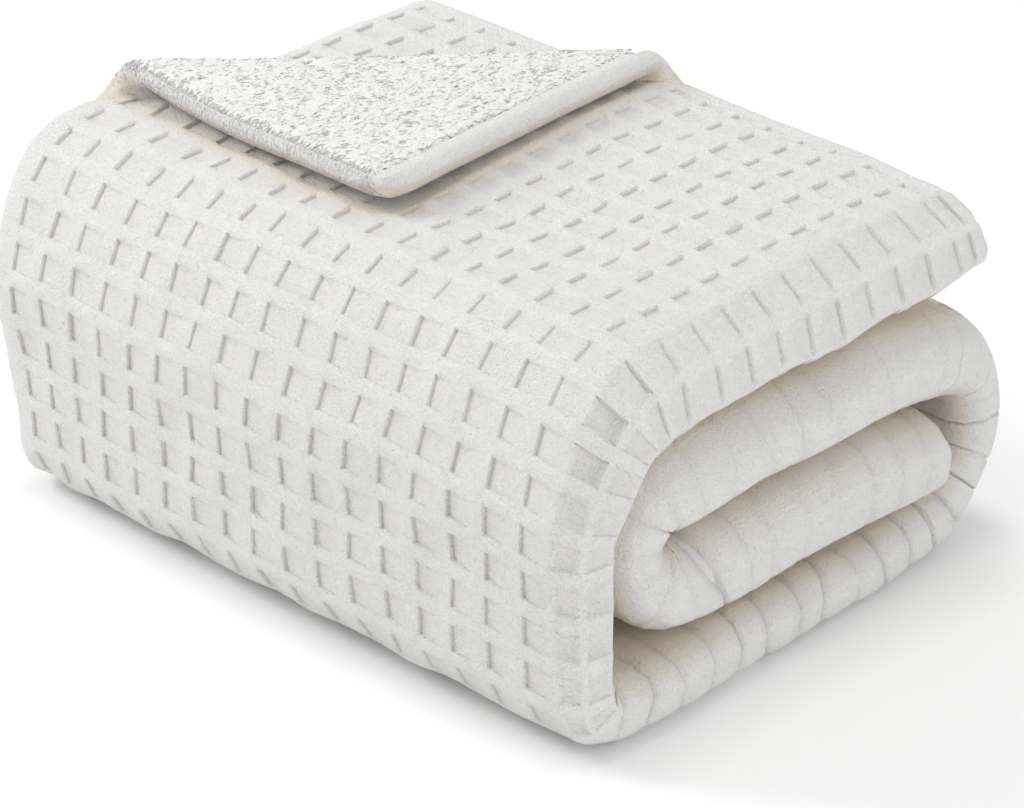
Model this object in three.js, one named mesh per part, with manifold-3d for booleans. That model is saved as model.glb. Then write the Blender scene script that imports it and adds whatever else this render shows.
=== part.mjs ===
// A heated throw blanket: a waffle face cloth sewn to a fleece back, folded in thirds and rolled up.
// One corner of the top ply is turned over, so that the fleece shows.
// Millimetres, +Z up. The spine of the roll faces -Y, and the folded edges face +X.

import * as THREE from 'three';
import Module from 'manifold-3d';

const wasm = await Module();
wasm.setup();

// Waffle cloth
const PITCH = 24;
const PIT_ACROSS = 0.6;
const PIT_ALONG = 0.54;
const PIT_DEPTH = 2.4;

// Plies of the folded strip, as shares of half the strip's thickness
const PLY_LEVEL = 2 / 3;
const PLY_HALF = 0.306;
const FACE_INSIDE = 0.08;
const FACE_GAP = 0.02;
const HEM_ROUND = 0.2;
const PLY_PARTING = 0.333;

// Widths across the strip
const FREE_EDGE_X = -219;
const LEFT_FOLD_X = -202;
const LAST_RIDGE_X = 179.2;
const COLUMNS = 16;
const MIDDLE_PLY_EDGE_X = 178;
const HEM = 9;
const HEM_CLEARANCE = 0.6;

// Lines of points across the sheet: round the folds, on the lower plies and on the plain sides
const FOLD_ANGLES = [90, 70, 41, 13, -16, -44, -67, -90];
const PLAIN_FOLD_ANGLES = [90, 45, 0, -45, -90];
const LEFT_ANGLES = [-90, -45, 0, 45, 90];
const BOTTOM_PARTS = [0.6];
const PLAIN_TOP_XS = [-130, 20, 160];
const PLAIN_MIDDLE_XS = [-130, 62];
const FACE_MIDDLE_X = 62;
const SHOWN_MIDDLE_COLUMNS = 7;
const KEPT_MIDDLE_COLUMN = 3;
const HIDDEN_COLUMN_STEP = 8;
const ORDER = { rightFold: 1000, bottom: 2000, leftFold: 3000, middle: 5000 };

// Ends of the plies on top, and the first straight ridge behind the shoulder
const TOP_EDGE = { x: 20, y: 129, skew: 0.11, rightSkew: 0.08 };
const LOWER_EDGE_Y = 148;
const FRONT_RIDGE_Y = -96;
const FAN_ROWS = 10;
const END_ROOM = 2.5 * PITCH;

// The line along which the corner of the top ply turns over, and its bend
const TURN = {
  leftY: -106, leftRadius: 13, backRadius: 10.5, pressed: 3.6, thin: 0.15,
  rest: 17, settle: 70, drift: 16, round: 36,
};
const TURN_PARTS_TO_TIP = [0.02, 0.08, 0.15, 0.25, 0.4, 0.6, 0.8];
const TURN_PARTS_FROM_TIP = [0, 0.25, 0.5, 0.66, 0.76, 0.84, 0.91, 0.98];
const TURN_BEND_STEPS = 7;
const TURN_FLAT_STEPS = 4;
const TURN_LEAST = 1;
const TURN_FLEECE_LEAST = 16;
const TURN_INSET = 0.012;
const TURN_KEEP_OUT = 0.02;
const TURN_OVERLAP = 1.5;
const CUT_REACH = 60;
const CUT_ROWS = 9;
const CUT_PARTS = [0, 0.5, 1];

// Settling of the finished roll, and the middle of its box
const CROWN = { share: 0.045, from: 215, over: 70 };
const LEFT_LEAN = { share: 0.05, from: -130, over: 89, middle: 120 };
const FREE_HEIGHT = 40;
const FLOOR_SNAP = 1.2;
const BOX_MIDDLE = { x: 0.55, y: -0.965 };

// The strip's middle line from its free end on top to its end inside the roll
const ROLL = [
  { at: 'top end', y: 156.5, z: 186, half: 24, right: 193 },
  { at: 'top back', y: 99.5, z: 184.5, half: 26, right: 195 },
  { at: 'top middle', y: 31.5, z: 184, half: 26, right: 194 },
  { at: 'top ahead', y: -32.5, z: 181, half: 26, right: 195 },
  { at: 'top front', y: -84.5, z: 175, half: 26.5, right: 196 },
  { at: 'shoulder', y: -126.5, z: 165.5, half: 29.5, right: 197 },
  { at: 'spine high', y: -153.5, z: 124, half: 23.5, right: 198 },
  { at: 'spine middle', y: -156.5, z: 88, half: 20.5, right: 199 },
  { at: 'spine low', y: -157, z: 54, half: 19.5, right: 201 },
  { at: 'heel', y: -152.5, z: 23.5, half: 18, right: 203 },
  { at: 'base front', y: -118, z: 17.5, half: 17.5, right: 205 },
  { at: 'base ahead', y: -53.5, z: 17.2, half: 17.2, right: 203 },
  { at: 'base middle', y: 11.5, z: 17, half: 17, right: 199 },
  { at: 'base back', y: 76.5, z: 17, half: 17, right: 195 },
  { at: 'wall foot', y: 128.5, z: 23, half: 17.5, right: 190 },
  { at: 'wall low', y: 156.5, z: 56, half: 18, right: 189 },
  { at: 'wall high', y: 152.5, z: 95, half: 19.5, right: 190 },
  { at: 'inner back', y: 119.5, z: 117, half: 24, right: 192 },
  { at: 'inner behind', y: 71.5, z: 124.5, half: 28, right: 193 },
  { at: 'inner middle', y: 11.5, z: 125, half: 28, right: 194 },
  { at: 'inner ahead', y: -43.5, z: 121.5, half: 27.5, right: 194 },
  { at: 'curl top', y: -83.5, z: 117.5, half: 26, right: 193 },
  { at: 'curl high', y: -104.5, z: 111, half: 22.5, right: 192.5 },
  { at: 'curl front', y: -114.5, z: 91, half: 20, right: 192 },
  { at: 'curl deep', y: -104.5, z: 71, half: 22, right: 192.5 },
  { at: 'curl low', y: -83.5, z: 64.5, half: 25.5, right: 193 },
  { at: 'core front', y: -38.5, z: 63.5, half: 26, right: 194 },
  { at: 'core middle', y: 21.5, z: 67, half: 26.5, right: 194 },
  { at: 'core back', y: 71.5, z: 66, half: 26.5, right: 193 },
  { at: 'core end', y: 117.5, z: 62, half: 24, right: 191 },
];

// Soft swells and hollows left by hand folding: place, reach and push
const SWELLS = [
  { x: 0, y: -178, z: 60, reach: 120, push: [0, -2.5, 0] },
  { x: -120, y: -150, z: 195, reach: 80, push: [0, 2, -2.5] },
  { x: 80, y: -20, z: 212, reach: 90, push: [0, 0, -3] },
  { x: -40, y: 70, z: 218, reach: 100, push: [0, 0, 2] },
  { x: 215, y: 20, z: 125, reach: 60, push: [3, 0, 0] },
  { x: 205, y: -120, z: 20, reach: 60, push: [3, 0, 0] },
  { x: -215, y: 40, z: 110, reach: 90, push: [-2, 0, 0] },
  { x: -205, y: 135, z: 205, reach: 160, push: [-3, 4, 4] },
  { x: -215, y: -155, z: 40, reach: 80, push: [5, 4, 2] },
  { x: 200, y: 60, z: 215, reach: 110, push: [1, 0, 4.5] },
  { x: 200, y: -120, z: 195, reach: 90, push: [1, -3, 4] },
];

const lerp = THREE.MathUtils.lerp;
const clamp = THREE.MathUtils.clamp;
const radians = THREE.MathUtils.degToRad;

// The roll as a smooth course, measured along its outer face

const course = new THREE.CatmullRomCurve3(
  ROLL.map((row) => new THREE.Vector3(0, row.y, row.z)), false, 'catmullrom', 0.5);
const girth = new THREE.CatmullRomCurve3(
  ROLL.map((row) => new THREE.Vector3(row.half, row.right, 0)), false, 'catmullrom', 0.5);

function gaugeAt(t) {
  const middle = course.getPoint(t);
  const along = course.getTangent(t);
  const size = girth.getPoint(t);
  return {
    middle, along, half: size.x, right: size.y, outward: new THREE.Vector3(0, along.z, -along.y),
  };
}

const SAMPLES = 1500;
const outerLength = [0];
const sampleY = [];
let lastOuter = null;
for (let i = 0; i <= SAMPLES; i += 1) {
  const gauge = gaugeAt(i / SAMPLES);
  const outer = gauge.middle.clone().addScaledVector(gauge.outward, gauge.half);
  if (lastOuter) outerLength.push(outerLength[i - 1] + outer.distanceTo(lastOuter));
  sampleY.push(gauge.middle.y);
  lastOuter = outer;
}

function shareAtLength(length) {
  let low = 0;
  let high = SAMPLES;
  while (high - low > 1) {
    const mid = (low + high) >> 1;
    if (outerLength[mid] <= length) low = mid;
    else high = mid;
  }
  const span = outerLength[high] - outerLength[low];
  return (low + clamp((length - outerLength[low]) / span, 0, 1)) / SAMPLES;
}

function lengthAtTopY(y) {
  const i = sampleY.findIndex((value) => value <= y);
  const part = (sampleY[i - 1] - y) / (sampleY[i - 1] - sampleY[i]);
  return lerp(outerLength[i - 1], outerLength[i], part);
}

function lengthAtMark(name) {
  const i = ROLL.findIndex((row) => row.at === name);
  return outerLength[Math.round((i / (ROLL.length - 1)) * SAMPLES)];
}

// A point of the strip: x across it, length along its outer face, level out from its middle

function gaugeAtLength(length) {
  const gauge = gaugeAt(shareAtLength(Math.max(length, 0)));
  if (length < 0) gauge.middle.addScaledVector(gauge.along, length);
  return gauge;
}

function stripPoint(x, gauge, level) {
  const point = gauge.middle.clone().addScaledVector(gauge.outward, level * gauge.half);
  return point.setX(x);
}

// Stations across the sheet, from the free edge on top, round both folds, to the edge inside

function topEdgeY(x) {
  const skew = x < TOP_EDGE.x ? TOP_EDGE.skew : TOP_EDGE.rightSkew;
  return TOP_EDGE.y + skew * (TOP_EDGE.x - x);
}

function topStation(x, kind = 'cloth', column = -1) {
  return { u: x, kind, column, edgeY: topEdgeY(x), place: (w) => [x, PLY_LEVEL + w] };
}

function rightFoldStation(degrees) {
  const angle = radians(degrees);
  const part = (90 - degrees) / 180;
  return {
    u: ORDER.rightFold + part,
    kind: 'cloth',
    column: -1,
    edgeY: lerp(topEdgeY(LAST_RIDGE_X), LOWER_EDGE_Y, part),
    place: (w, g) => [
      g.right + (PLY_LEVEL + w) * g.half * Math.cos(angle),
      (PLY_LEVEL + w) * Math.sin(angle),
    ],
  };
}

function bottomStation(part) {
  return {
    u: ORDER.bottom + part,
    kind: 'cloth',
    column: -1,
    edgeY: LOWER_EDGE_Y,
    place: (w, g) => [lerp(g.right, LEFT_FOLD_X, part), -PLY_LEVEL - w],
  };
}

function leftFoldStation(degrees) {
  const angle = radians(degrees);
  return {
    u: ORDER.leftFold + degrees,
    kind: 'cloth',
    column: -1,
    edgeY: LOWER_EDGE_Y,
    place: (w, g) => [
      LEFT_FOLD_X - (PLY_LEVEL / 2 + w) * g.half * Math.cos(angle),
      -PLY_LEVEL / 2 + (PLY_LEVEL / 2 + w) * Math.sin(angle),
    ],
  };
}

function middleStation(x, kind = 'cloth', shown = -1) {
  return { u: ORDER.middle + x, kind, column: -1, shown, edgeY: LOWER_EDGE_Y, place: (w) => [x, w] };
}

function faceStations() {
  const list = [topStation(FREE_EDGE_X, 'edge'), topStation(FREE_EDGE_X + HEM, 'hem')];
  for (let k = 0; k <= COLUMNS; k += 1) {
    list.push(topStation(LAST_RIDGE_X - PITCH * (COLUMNS - k), 'cloth', k));
  }
  list.push(...FOLD_ANGLES.map(rightFoldStation));
  list.push(...BOTTOM_PARTS.map(bottomStation));
  list.push(...LEFT_ANGLES.map(leftFoldStation));
  for (let k = 1; k <= SHOWN_MIDDLE_COLUMNS; k += 1) {
    list.push(middleStation(LEFT_FOLD_X + PITCH * k, 'cloth', k));
  }
  list.push(middleStation(FACE_MIDDLE_X));
  list.push(middleStation(MIDDLE_PLY_EDGE_X - HEM, 'hem'), middleStation(MIDDLE_PLY_EDGE_X, 'edge'));
  return list;
}

function plainStations(start, end) {
  return [
    ...start,
    ...PLAIN_TOP_XS.map((x) => topStation(x)),
    ...PLAIN_FOLD_ANGLES.map(rightFoldStation),
    ...BOTTOM_PARTS.map(bottomStation),
    ...LEFT_ANGLES.map(leftFoldStation),
    ...PLAIN_MIDDLE_XS.map((x) => middleStation(x)),
    ...end,
  ];
}

function faceInnerStations() {
  const hemX = FREE_EDGE_X + HEM;
  const endX = MIDDLE_PLY_EDGE_X - HEM;
  return plainStations(
    [topStation(FREE_EDGE_X, 'edge'), topStation(hemX, 'hem'), topStation(hemX)],
    [middleStation(endX), middleStation(endX, 'hem'), middleStation(MIDDLE_PLY_EDGE_X, 'edge')]);
}

function backStations() {
  return plainStations(
    [topStation(FREE_EDGE_X + HEM + HEM_CLEARANCE)],
    [middleStation(MIDDLE_PLY_EDGE_X - HEM - HEM_CLEARANCE)]);
}

// Rows along the sheet, from its end on top to its end inside the roll

const FRONT_RIDGE = lengthAtTopY(FRONT_RIDGE_Y);
const END = outerLength[SAMPLES];
const SPINE_END = lengthAtMark('heel');
const WALL_START = lengthAtMark('wall foot');
const WALL_END = lengthAtMark('inner back');
const CURL_START = lengthAtMark('inner ahead');
const CURL_END = lengthAtMark('core front');

function hasWaffle(length) {
  return length < SPINE_END || (length > WALL_START && length < WALL_END);
}

function isStraightInside(length) {
  return (length > WALL_END && length < CURL_START) || length > CURL_END;
}

function fanRow(part) {
  return {
    kind: 'cloth', waffle: true, rim: true, fan: true,
    length: (station) => lerp(lengthAtTopY(station.edgeY), FRONT_RIDGE, part),
  };
}

function startRow(offset, kind) {
  return {
    kind, waffle: true, rim: false, fan: true, length: (station) => lengthAtTopY(station.edgeY) + offset,
  };
}

function plainRow(length, kind = 'cloth') {
  return { kind, waffle: hasWaffle(length), rim: length < WALL_END, fan: false, length: () => length };
}

function clothRows() {
  const rows = [];
  for (let k = 1; k <= FAN_ROWS; k += 1) rows.push(fanRow(k / FAN_ROWS));
  let length = FRONT_RIDGE;
  while (length < END - END_ROOM) {
    length += isStraightInside(length) ? 2 * PITCH : PITCH;
    rows.push(plainRow(length));
  }
  return rows;
}

function faceRows() {
  return [
    startRow(0, 'edge'), startRow(HEM, 'hem'), startRow(HEM, 'cloth'),
    ...clothRows(),
    plainRow(END - HEM), plainRow(END - HEM, 'hem'), plainRow(END, 'edge'),
  ];
}

function backRows() {
  return [
    startRow(HEM + HEM_CLEARANCE, 'cloth'), ...clothRows(), plainRow(END - HEM - HEM_CLEARANCE),
  ];
}

// Closed skins from grids of points

function rowLine(lines, j) {
  return lines.map((line) => line[j]).filter((corner) => corner !== null);
}

class Skin {
  constructor() {
    this.places = new Map();
    this.points = [];
    this.faces = [];
  }

  vertex(point) {
    const key = point.toArray().map((value) => Math.round(value * 1e3)).join(',');
    if (!this.places.has(key)) {
      this.places.set(key, this.points.length);
      this.points.push(point.clone());
    }
    return this.places.get(key);
  }

  triangle(a, b, c) {
    if (a !== b && b !== c && c !== a) this.faces.push(a, b, c);
  }

  quad(a, b, c, d) {
    this.triangle(a, b, c);
    this.triangle(a, c, d);
  }

  // Joins two lines of points that may have different numbers of points
  join(first, second) {
    let i = 0;
    let j = 0;
    while (i < first.length - 1 || j < second.length - 1) {
      const firstNext = i < first.length - 1 ? first[i + 1].u : Infinity;
      const secondNext = j < second.length - 1 ? second[j + 1].u : Infinity;
      if (firstNext <= secondNext) {
        this.triangle(first[i].vertex, first[i + 1].vertex, second[j].vertex);
        i += 1;
      } else {
        this.triangle(first[i].vertex, second[j + 1].vertex, second[j].vertex);
        j += 1;
      }
    }
  }

  // A pit in the quads between stations i and last, and rows j and j + 1
  pit(grid, i, last, j) {
    const lines = [];
    for (let k = i; k <= last; k += 1) lines.push(k);
    const rimBack = lines.map((k) => grid[k][j].vertex);
    const rimFront = lines.map((k) => grid[k][j + 1].vertex);
    const side = (1 - PIT_ACROSS) / 2 * (last - i);
    const floor = (along) => lines.map((k) => {
      const across = clamp(k - i, side, last - i - side);
      return this.vertex(this.sunkPoint(grid, i + across, j, along));
    });
    const back = floor((1 - PIT_ALONG) / 2);
    const front = floor((1 + PIT_ALONG) / 2);
    for (let k = 0; k < lines.length - 1; k += 1) {
      this.quad(rimBack[k], rimBack[k + 1], back[k + 1], back[k]);
      this.quad(back[k], back[k + 1], front[k + 1], front[k]);
      this.quad(front[k], front[k + 1], rimFront[k + 1], rimFront[k]);
    }
    const end = lines.length - 1;
    this.quad(rimBack[0], back[0], front[0], rimFront[0]);
    this.quad(back[end], rimBack[end], rimFront[end], front[end]);
  }

  sunkPoint(grid, across, j, along) {
    const i = Math.min(Math.floor(across), grid.length - 2);
    const corner = (k, row) => this.points[grid[k][row].vertex];
    const back = corner(i, j).clone().lerp(corner(i + 1, j), across - i);
    const front = corner(i, j + 1).clone().lerp(corner(i + 1, j + 1), across - i);
    const over = corner(i + 1, j).clone().sub(corner(i, j));
    const down = corner(i, j + 1).clone().sub(corner(i, j));
    const normal = over.cross(down).normalize();
    return back.lerp(front, along).addScaledVector(normal, PIT_DEPTH);
  }

  // Closes two grids that lie over each other into one solid
  close(outer, inner) {
    const rows = outer[0].length;
    const outerEnd = outer[outer.length - 1];
    const innerEnd = inner[inner.length - 1];
    this.join(rowLine(inner, 0), rowLine(outer, 0));
    this.join(rowLine(outer, rows - 1), rowLine(inner, rows - 1));
    for (let j = 0; j < rows - 1; j += 1) {
      this.edgeQuad(outer[0], inner[0], j);
      this.edgeQuad(innerEnd, outerEnd, j);
    }
  }

  edgeQuad(first, second, j) {
    this.quad(first[j].vertex, first[j + 1].vertex, second[j + 1].vertex, second[j].vertex);
  }

  plainQuads(grid, turned) {
    for (let i = 0; i < grid.length - 1; i += 1) {
      for (let j = 0; j < grid[i].length - 1; j += 1) this.gridQuad(grid, i, j, turned);
    }
  }

  gridQuad(grid, i, j, turned) {
    const [near, far] = turned ? [grid[i + 1][j + 1], grid[i][j]] : [grid[i][j], grid[i + 1][j + 1]];
    this.quad(grid[i][j + 1].vertex, near.vertex, grid[i + 1][j].vertex, far.vertex);
  }

  toManifold() {
    const vertProperties = new Float32Array(this.points.flatMap((point) => point.toArray()));
    const triVerts = new Uint32Array(this.faces);
    const solid = new wasm.Manifold(new wasm.Mesh({ numProp: 3, vertProperties, triVerts }));
    if (solid.volume() > 0) return solid;
    const turned = new Uint32Array(this.faces.length);
    for (let k = 0; k < this.faces.length; k += 3) {
      turned.set([triVerts[k], triVerts[k + 2], triVerts[k + 1]], k);
    }
    return new wasm.Manifold(new wasm.Mesh({ numProp: 3, vertProperties, triVerts: turned }));
  }
}

// Depth levels of the two cloths within one ply

function outerLevel(kinds) {
  return kinds.includes('edge') ? HEM_ROUND : PLY_HALF;
}

function faceInnerLevel(kinds) {
  if (kinds.includes('edge')) return -HEM_ROUND;
  return kinds.includes('hem') ? -PLY_HALF : FACE_INSIDE;
}

function sheetGrid(skin, stations, rows, level, used = () => true) {
  return stations.map((station) => rows.map((row) => {
    if (!used(station, row)) return null;
    const gauge = gaugeAtLength(row.length(station));
    const [x, depth] = station.place(level([station.kind, row.kind]), gauge);
    return { u: station.u, vertex: skin.vertex(stripPoint(x, gauge, depth)) };
  }));
}

// Which stations a row uses: all the ridges where the waffle shows, and fewer where it is hidden

function isUsed(station, row) {
  if (station.shown > 0) return row.fan || station.shown === KEPT_MIDDLE_COLUMN;
  return row.waffle || station.column < 0 || station.column % HIDDEN_COLUMN_STEP === 0;
}

// Whether the middle ply shows there, past the turned corner

function isUncovered(station, row) {
  const [x] = station.place(0);
  const across = x - TURN_LEFT.x;
  const along = row.length(station) - TURN_LEFT.length;
  return across * turnAlong.length - along * turnAlong.x > 0;
}

function pitSpan(stations, i, row, next, foldPits) {
  const cloth = row.kind === 'cloth' && next.kind === 'cloth';
  if (!cloth || row.length(stations[i]) >= next.length(stations[i])) return 0;
  const { column, shown } = stations[i];
  if (row.waffle && next.waffle && column >= 0 && column < COLUMNS) return 1;
  if (row.rim && next.rim && foldPits.includes(i)) return 2;
  const inShown = shown > 0 && shown < SHOWN_MIDDLE_COLUMNS;
  return inShown && next.fan && isUncovered(stations[i], next) ? 1 : 0;
}

// Quads of the face: waffle pits where the roll's outside shows, and round the right fold

function faceQuads(skin, grid, stations, rows) {
  const firstFold = stations.findIndex((station) => station.column === COLUMNS);
  const foldPits = [firstFold, firstFold + 2, firstFold + 4];
  for (let j = 0; j < rows.length - 1; j += 1) {
    let i = 0;
    while (i < stations.length - 1) {
      let last = i + 1;
      while (grid[last][j] === null || grid[last][j + 1] === null) last += 1;
      const pit = last === i + 1 ? pitSpan(stations, i, rows[j], rows[j + 1], foldPits) : 0;
      if (pit > 0) {
        last = i + pit;
        skin.pit(grid, i, last, j);
      } else {
        const lines = grid.slice(i, last + 1);
        skin.join(rowLine(lines, j), rowLine(lines, j + 1));
      }
      i = last;
    }
  }
}

// The turned corner: sections square to the turning line, bent over and laid back on the top

const TURN_LEFT = { x: FREE_EDGE_X, length: lengthAtTopY(TURN.leftY) };
const TURN_BACK = { x: TOP_EDGE.x, length: lengthAtTopY(TOP_EDGE.y) };
const CORNER = { x: FREE_EDGE_X, length: lengthAtTopY(topEdgeY(FREE_EDGE_X)) };
const turnRun = { x: TURN_BACK.x - TURN_LEFT.x, length: TURN_BACK.length - TURN_LEFT.length };
const TURN_LENGTH = Math.hypot(turnRun.x, turnRun.length);
const turnAlong = { x: turnRun.x / TURN_LENGTH, length: turnRun.length / TURN_LENGTH };
const cornerRun = CORNER.length - TURN_LEFT.length;
const CORNER_ALONG = cornerRun * turnAlong.length;
const CORNER_OUT = Math.abs(cornerRun * turnAlong.x);

const TURN_HYPOTENUSE = {
  left: Math.hypot(CORNER_ALONG, CORNER_OUT), back: Math.hypot(TURN_LENGTH - CORNER_ALONG, CORNER_OUT),
};

// How far the cloth runs past the turning line, to within a margin of its two edges
function turnReach(along, margin) {
  const back = TURN_LENGTH - CORNER_ALONG;
  const leftEdge = (CORNER_OUT * along - TURN_HYPOTENUSE.left * margin) / CORNER_ALONG;
  const backEdge = (CORNER_OUT * (TURN_LENGTH - along) - TURN_HYPOTENUSE.back * margin) / back;
  const blend = clamp((1 + (backEdge - leftEdge) / TURN.round) / 2, 0, 1);
  return lerp(backEdge, leftEdge, blend) - TURN.round * blend * (1 - blend);
}

// The bend's radius: open at both ends, and pressed down between them
function turnRadius(part) {
  const pressed = TURN.pressed * Math.sin(Math.PI * clamp(part, 0, 1)) ** 0.7;
  return lerp(TURN.leftRadius, TURN.backRadius, part) - pressed;
}

function turnedPoint(along, out, w) {
  const part = along / TURN_LENGTH;
  const foot = { x: lerp(TURN_LEFT.x, TURN_BACK.x, part) };
  const gauge = gaugeAtLength(lerp(TURN_LEFT.length, TURN_BACK.length, part));
  const up = gauge.outward;
  const over = gauge.along.clone().multiplyScalar(-turnAlong.x).setX(turnAlong.length);
  const radius = turnRadius(part);
  const angle = clamp(out / radius, 0, Math.PI);
  const beyond = Math.max(out - Math.PI * radius, 0);
  const inside = Math.min(out, 0);
  const settle = THREE.MathUtils.smoothstep(beyond, 0, TURN.settle) * Math.max(2 * radius - TURN.rest, 0);
  const thick = w * gauge.half * (1 - TURN.thin * THREE.MathUtils.smoothstep(angle, 0, Math.PI));
  const drift = TURN.drift * beyond / CORNER_OUT;
  const point = stripPoint(foot.x - drift * turnAlong.x, gauge, PLY_LEVEL);
  point.addScaledVector(gauge.along, -drift * turnAlong.length);
  point.addScaledVector(over, radius * Math.sin(angle) - beyond + inside);
  point.addScaledVector(up, radius * (1 - Math.cos(angle)) - settle);
  point.addScaledVector(up, thick * Math.cos(angle));
  return point.addScaledVector(over, -thick * Math.sin(angle));
}

function turnLines(along, margin) {
  const bend = Math.PI * turnRadius(along / TURN_LENGTH);
  const cloth = Math.max(turnReach(along, margin), TURN_LEAST);
  const lines = [{ out: -TURN_OVERLAP, kind: 'cloth' }];
  for (let k = 1; k <= TURN_BEND_STEPS; k += 1) {
    lines.push({ out: Math.min(bend * k / TURN_BEND_STEPS, cloth), kind: 'cloth' });
  }
  for (let k = 1; k <= TURN_FLAT_STEPS; k += 1) {
    lines.push({ out: lerp(Math.min(bend, cloth), cloth, k / TURN_FLAT_STEPS), kind: 'cloth' });
  }
  return lines;
}

function turnedSkin(margin, hemmed, outerOf, innerOf) {
  const skin = new Skin();
  const sections = [];
  const toTip = TURN_PARTS_TO_TIP.map((part) => part * CORNER_ALONG);
  const fromTip = TURN_PARTS_FROM_TIP.map((part) => lerp(CORNER_ALONG, TURN_LENGTH, part));
  for (const along of [...toTip, ...fromTip]) {
    if (hemmed || turnReach(along, margin) > TURN_FLEECE_LEAST) {
      const lines = turnLines(along, margin);
      const cloth = lines[lines.length - 1].out;
      const edge = Math.max(turnReach(along, 0), cloth + TURN_LEAST);
      if (hemmed) lines.push({ out: cloth, kind: 'hem' }, { out: edge, kind: 'edge' });
      sections.push({ along, lines });
    }
  }
  const gridOf = (level) => sections.map(({ along, lines }, row) => lines.map(({ out, kind }) => ({
    u: row, vertex: skin.vertex(turnedPoint(along, out, level([kind]))),
  })));
  const outer = gridOf((kinds) => outerOf(kinds) - TURN_INSET);
  const inner = gridOf((kinds) => innerOf(kinds) + TURN_INSET);
  skin.plainQuads(outer, false);
  skin.plainQuads(inner, true);
  skin.close(outer, inner);
  return skin.toManifold();
}

// A wedge over the corner that turned away, down to the parting under the top ply

function cornerWedge() {
  const skin = new Skin();
  const gridAt = (level) => {
    const grid = [];
    for (let k = 0; k <= CUT_ROWS; k += 1) {
      const along = lerp(-CUT_REACH, TURN_LENGTH + CUT_REACH, k / CUT_ROWS);
      const outs = CUT_PARTS.map((part) => part * (CORNER_OUT + CUT_REACH));
      grid.push(outs.map((out) => ({ u: k, vertex: skin.vertex(wedgePoint(along, out, level)) })));
    }
    return grid;
  };
  const outer = gridAt(2 * PLY_LEVEL);
  const inner = gridAt(PLY_PARTING);
  skin.plainQuads(outer, false);
  skin.plainQuads(inner, true);
  skin.close(outer, inner);
  return skin.toManifold();
}

function wedgePoint(along, out, level) {
  const x = TURN_LEFT.x + turnAlong.x * along + turnAlong.length * out;
  const length = TURN_LEFT.length + turnAlong.length * along - turnAlong.x * out;
  return stripPoint(x, gaugeAtLength(length), level);
}

// The two panels

function facePanel() {
  const skin = new Skin();
  const stations = faceStations();
  const rows = faceRows();
  const outer = sheetGrid(skin, stations, rows, outerLevel, isUsed);
  const inner = sheetGrid(skin, faceInnerStations(), rows, faceInnerLevel);
  faceQuads(skin, outer, stations, rows);
  skin.plainQuads(inner, true);
  skin.close(outer, inner);
  const turned = turnedSkin(HEM, true, outerLevel, faceInnerLevel);
  return skin.toManifold().subtract(cornerWedge()).add(turned);
}

function backPanel() {
  const skin = new Skin();
  const rows = backRows();
  const outer = sheetGrid(skin, backStations(), rows, () => FACE_INSIDE - FACE_GAP);
  const inner = sheetGrid(skin, backStations(), rows, () => -PLY_HALF);
  skin.plainQuads(outer, false);
  skin.plainQuads(inner, true);
  skin.close(outer, inner);
  const margin = HEM + HEM_CLEARANCE;
  const turned = turnedSkin(margin, false, () => FACE_INSIDE - FACE_GAP, () => -PLY_HALF);
  const faceRoom = turnedSkin(
    margin, true,
    (kinds) => outerLevel(kinds) + TURN_KEEP_OUT,
    (kinds) => faceInnerLevel(kinds) - TURN_KEEP_OUT);
  return skin.toManifold().subtract(cornerWedge()).add(turned).subtract(faceRoom);
}

// The finished roll sinks at its ends, swells a little by hand and lies flat on its base

function settled(point) {
  const crown = CROWN.share * Math.sqrt(clamp((CROWN.from - point.x) / CROWN.over, 0, 1));
  const place = new THREE.Vector3(point.x, point.y, point.z * (1 + crown));
  const lean = LEFT_LEAN.share * Math.max((LEFT_LEAN.from - point.x) / LEFT_LEAN.over, 0);
  place.x -= lean * (place.z - LEFT_LEAN.middle);
  const free = clamp(place.z / FREE_HEIGHT, 0, 1);
  const shift = new THREE.Vector3();
  for (const swell of SWELLS) {
    const distance = place.distanceTo(swell);
    const share = Math.exp(-2 * (distance / swell.reach) ** 2);
    shift.add(new THREE.Vector3(...swell.push).multiplyScalar(share * free));
  }
  place.add(shift);
  if (place.z < FLOOR_SNAP) place.z = 0;
  return place.set(place.x - BOX_MIDDLE.x, place.y - BOX_MIDDLE.y, place.z);
}

function panelMesh(name, solid, finish) {
  const { vertProperties, triVerts } = solid.getMesh();
  const position = new THREE.BufferAttribute(new Float32Array(vertProperties), 3);
  const point = new THREE.Vector3();
  for (let i = 0; i < position.count; i += 1) {
    const place = settled(point.fromBufferAttribute(position, i));
    position.setXYZ(i, place.x, place.y, place.z);
  }
  const geometry = new THREE.BufferGeometry();
  geometry.setAttribute('position', position);
  geometry.setIndex(new THREE.BufferAttribute(new Uint32Array(triVerts), 1));
  geometry.computeVertexNormals();
  const mesh = new THREE.Mesh(geometry, new THREE.MeshStandardMaterial(finish));
  mesh.name = name;
  return mesh;
}

const blanket = new THREE.Group();
blanket.add(panelMesh('waffle_face', facePanel(), { color: 0xf1efea, roughness: 0.92, metalness: 0 }));
blanket.add(panelMesh('fleece_back', backPanel(), { color: 0xf4f2ee, roughness: 0.96, metalness: 0 }));

export default blanket;
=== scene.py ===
"""A heated throw blanket: a waffle face sewn to a curly fleece back, folded in thirds and rolled.

One corner of the top ply is turned over, so that the fleece shows. Sizes are in millimetres and
become metres when a mesh is written. The spine of the roll faces -Y, and the folded edges face +X.
"""

import logging
import math
from dataclasses import dataclass, field
from enum import Enum, auto
from typing import NamedTuple

import bmesh
import bpy
import numpy as np
from mathutils import Matrix, Vector


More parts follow.
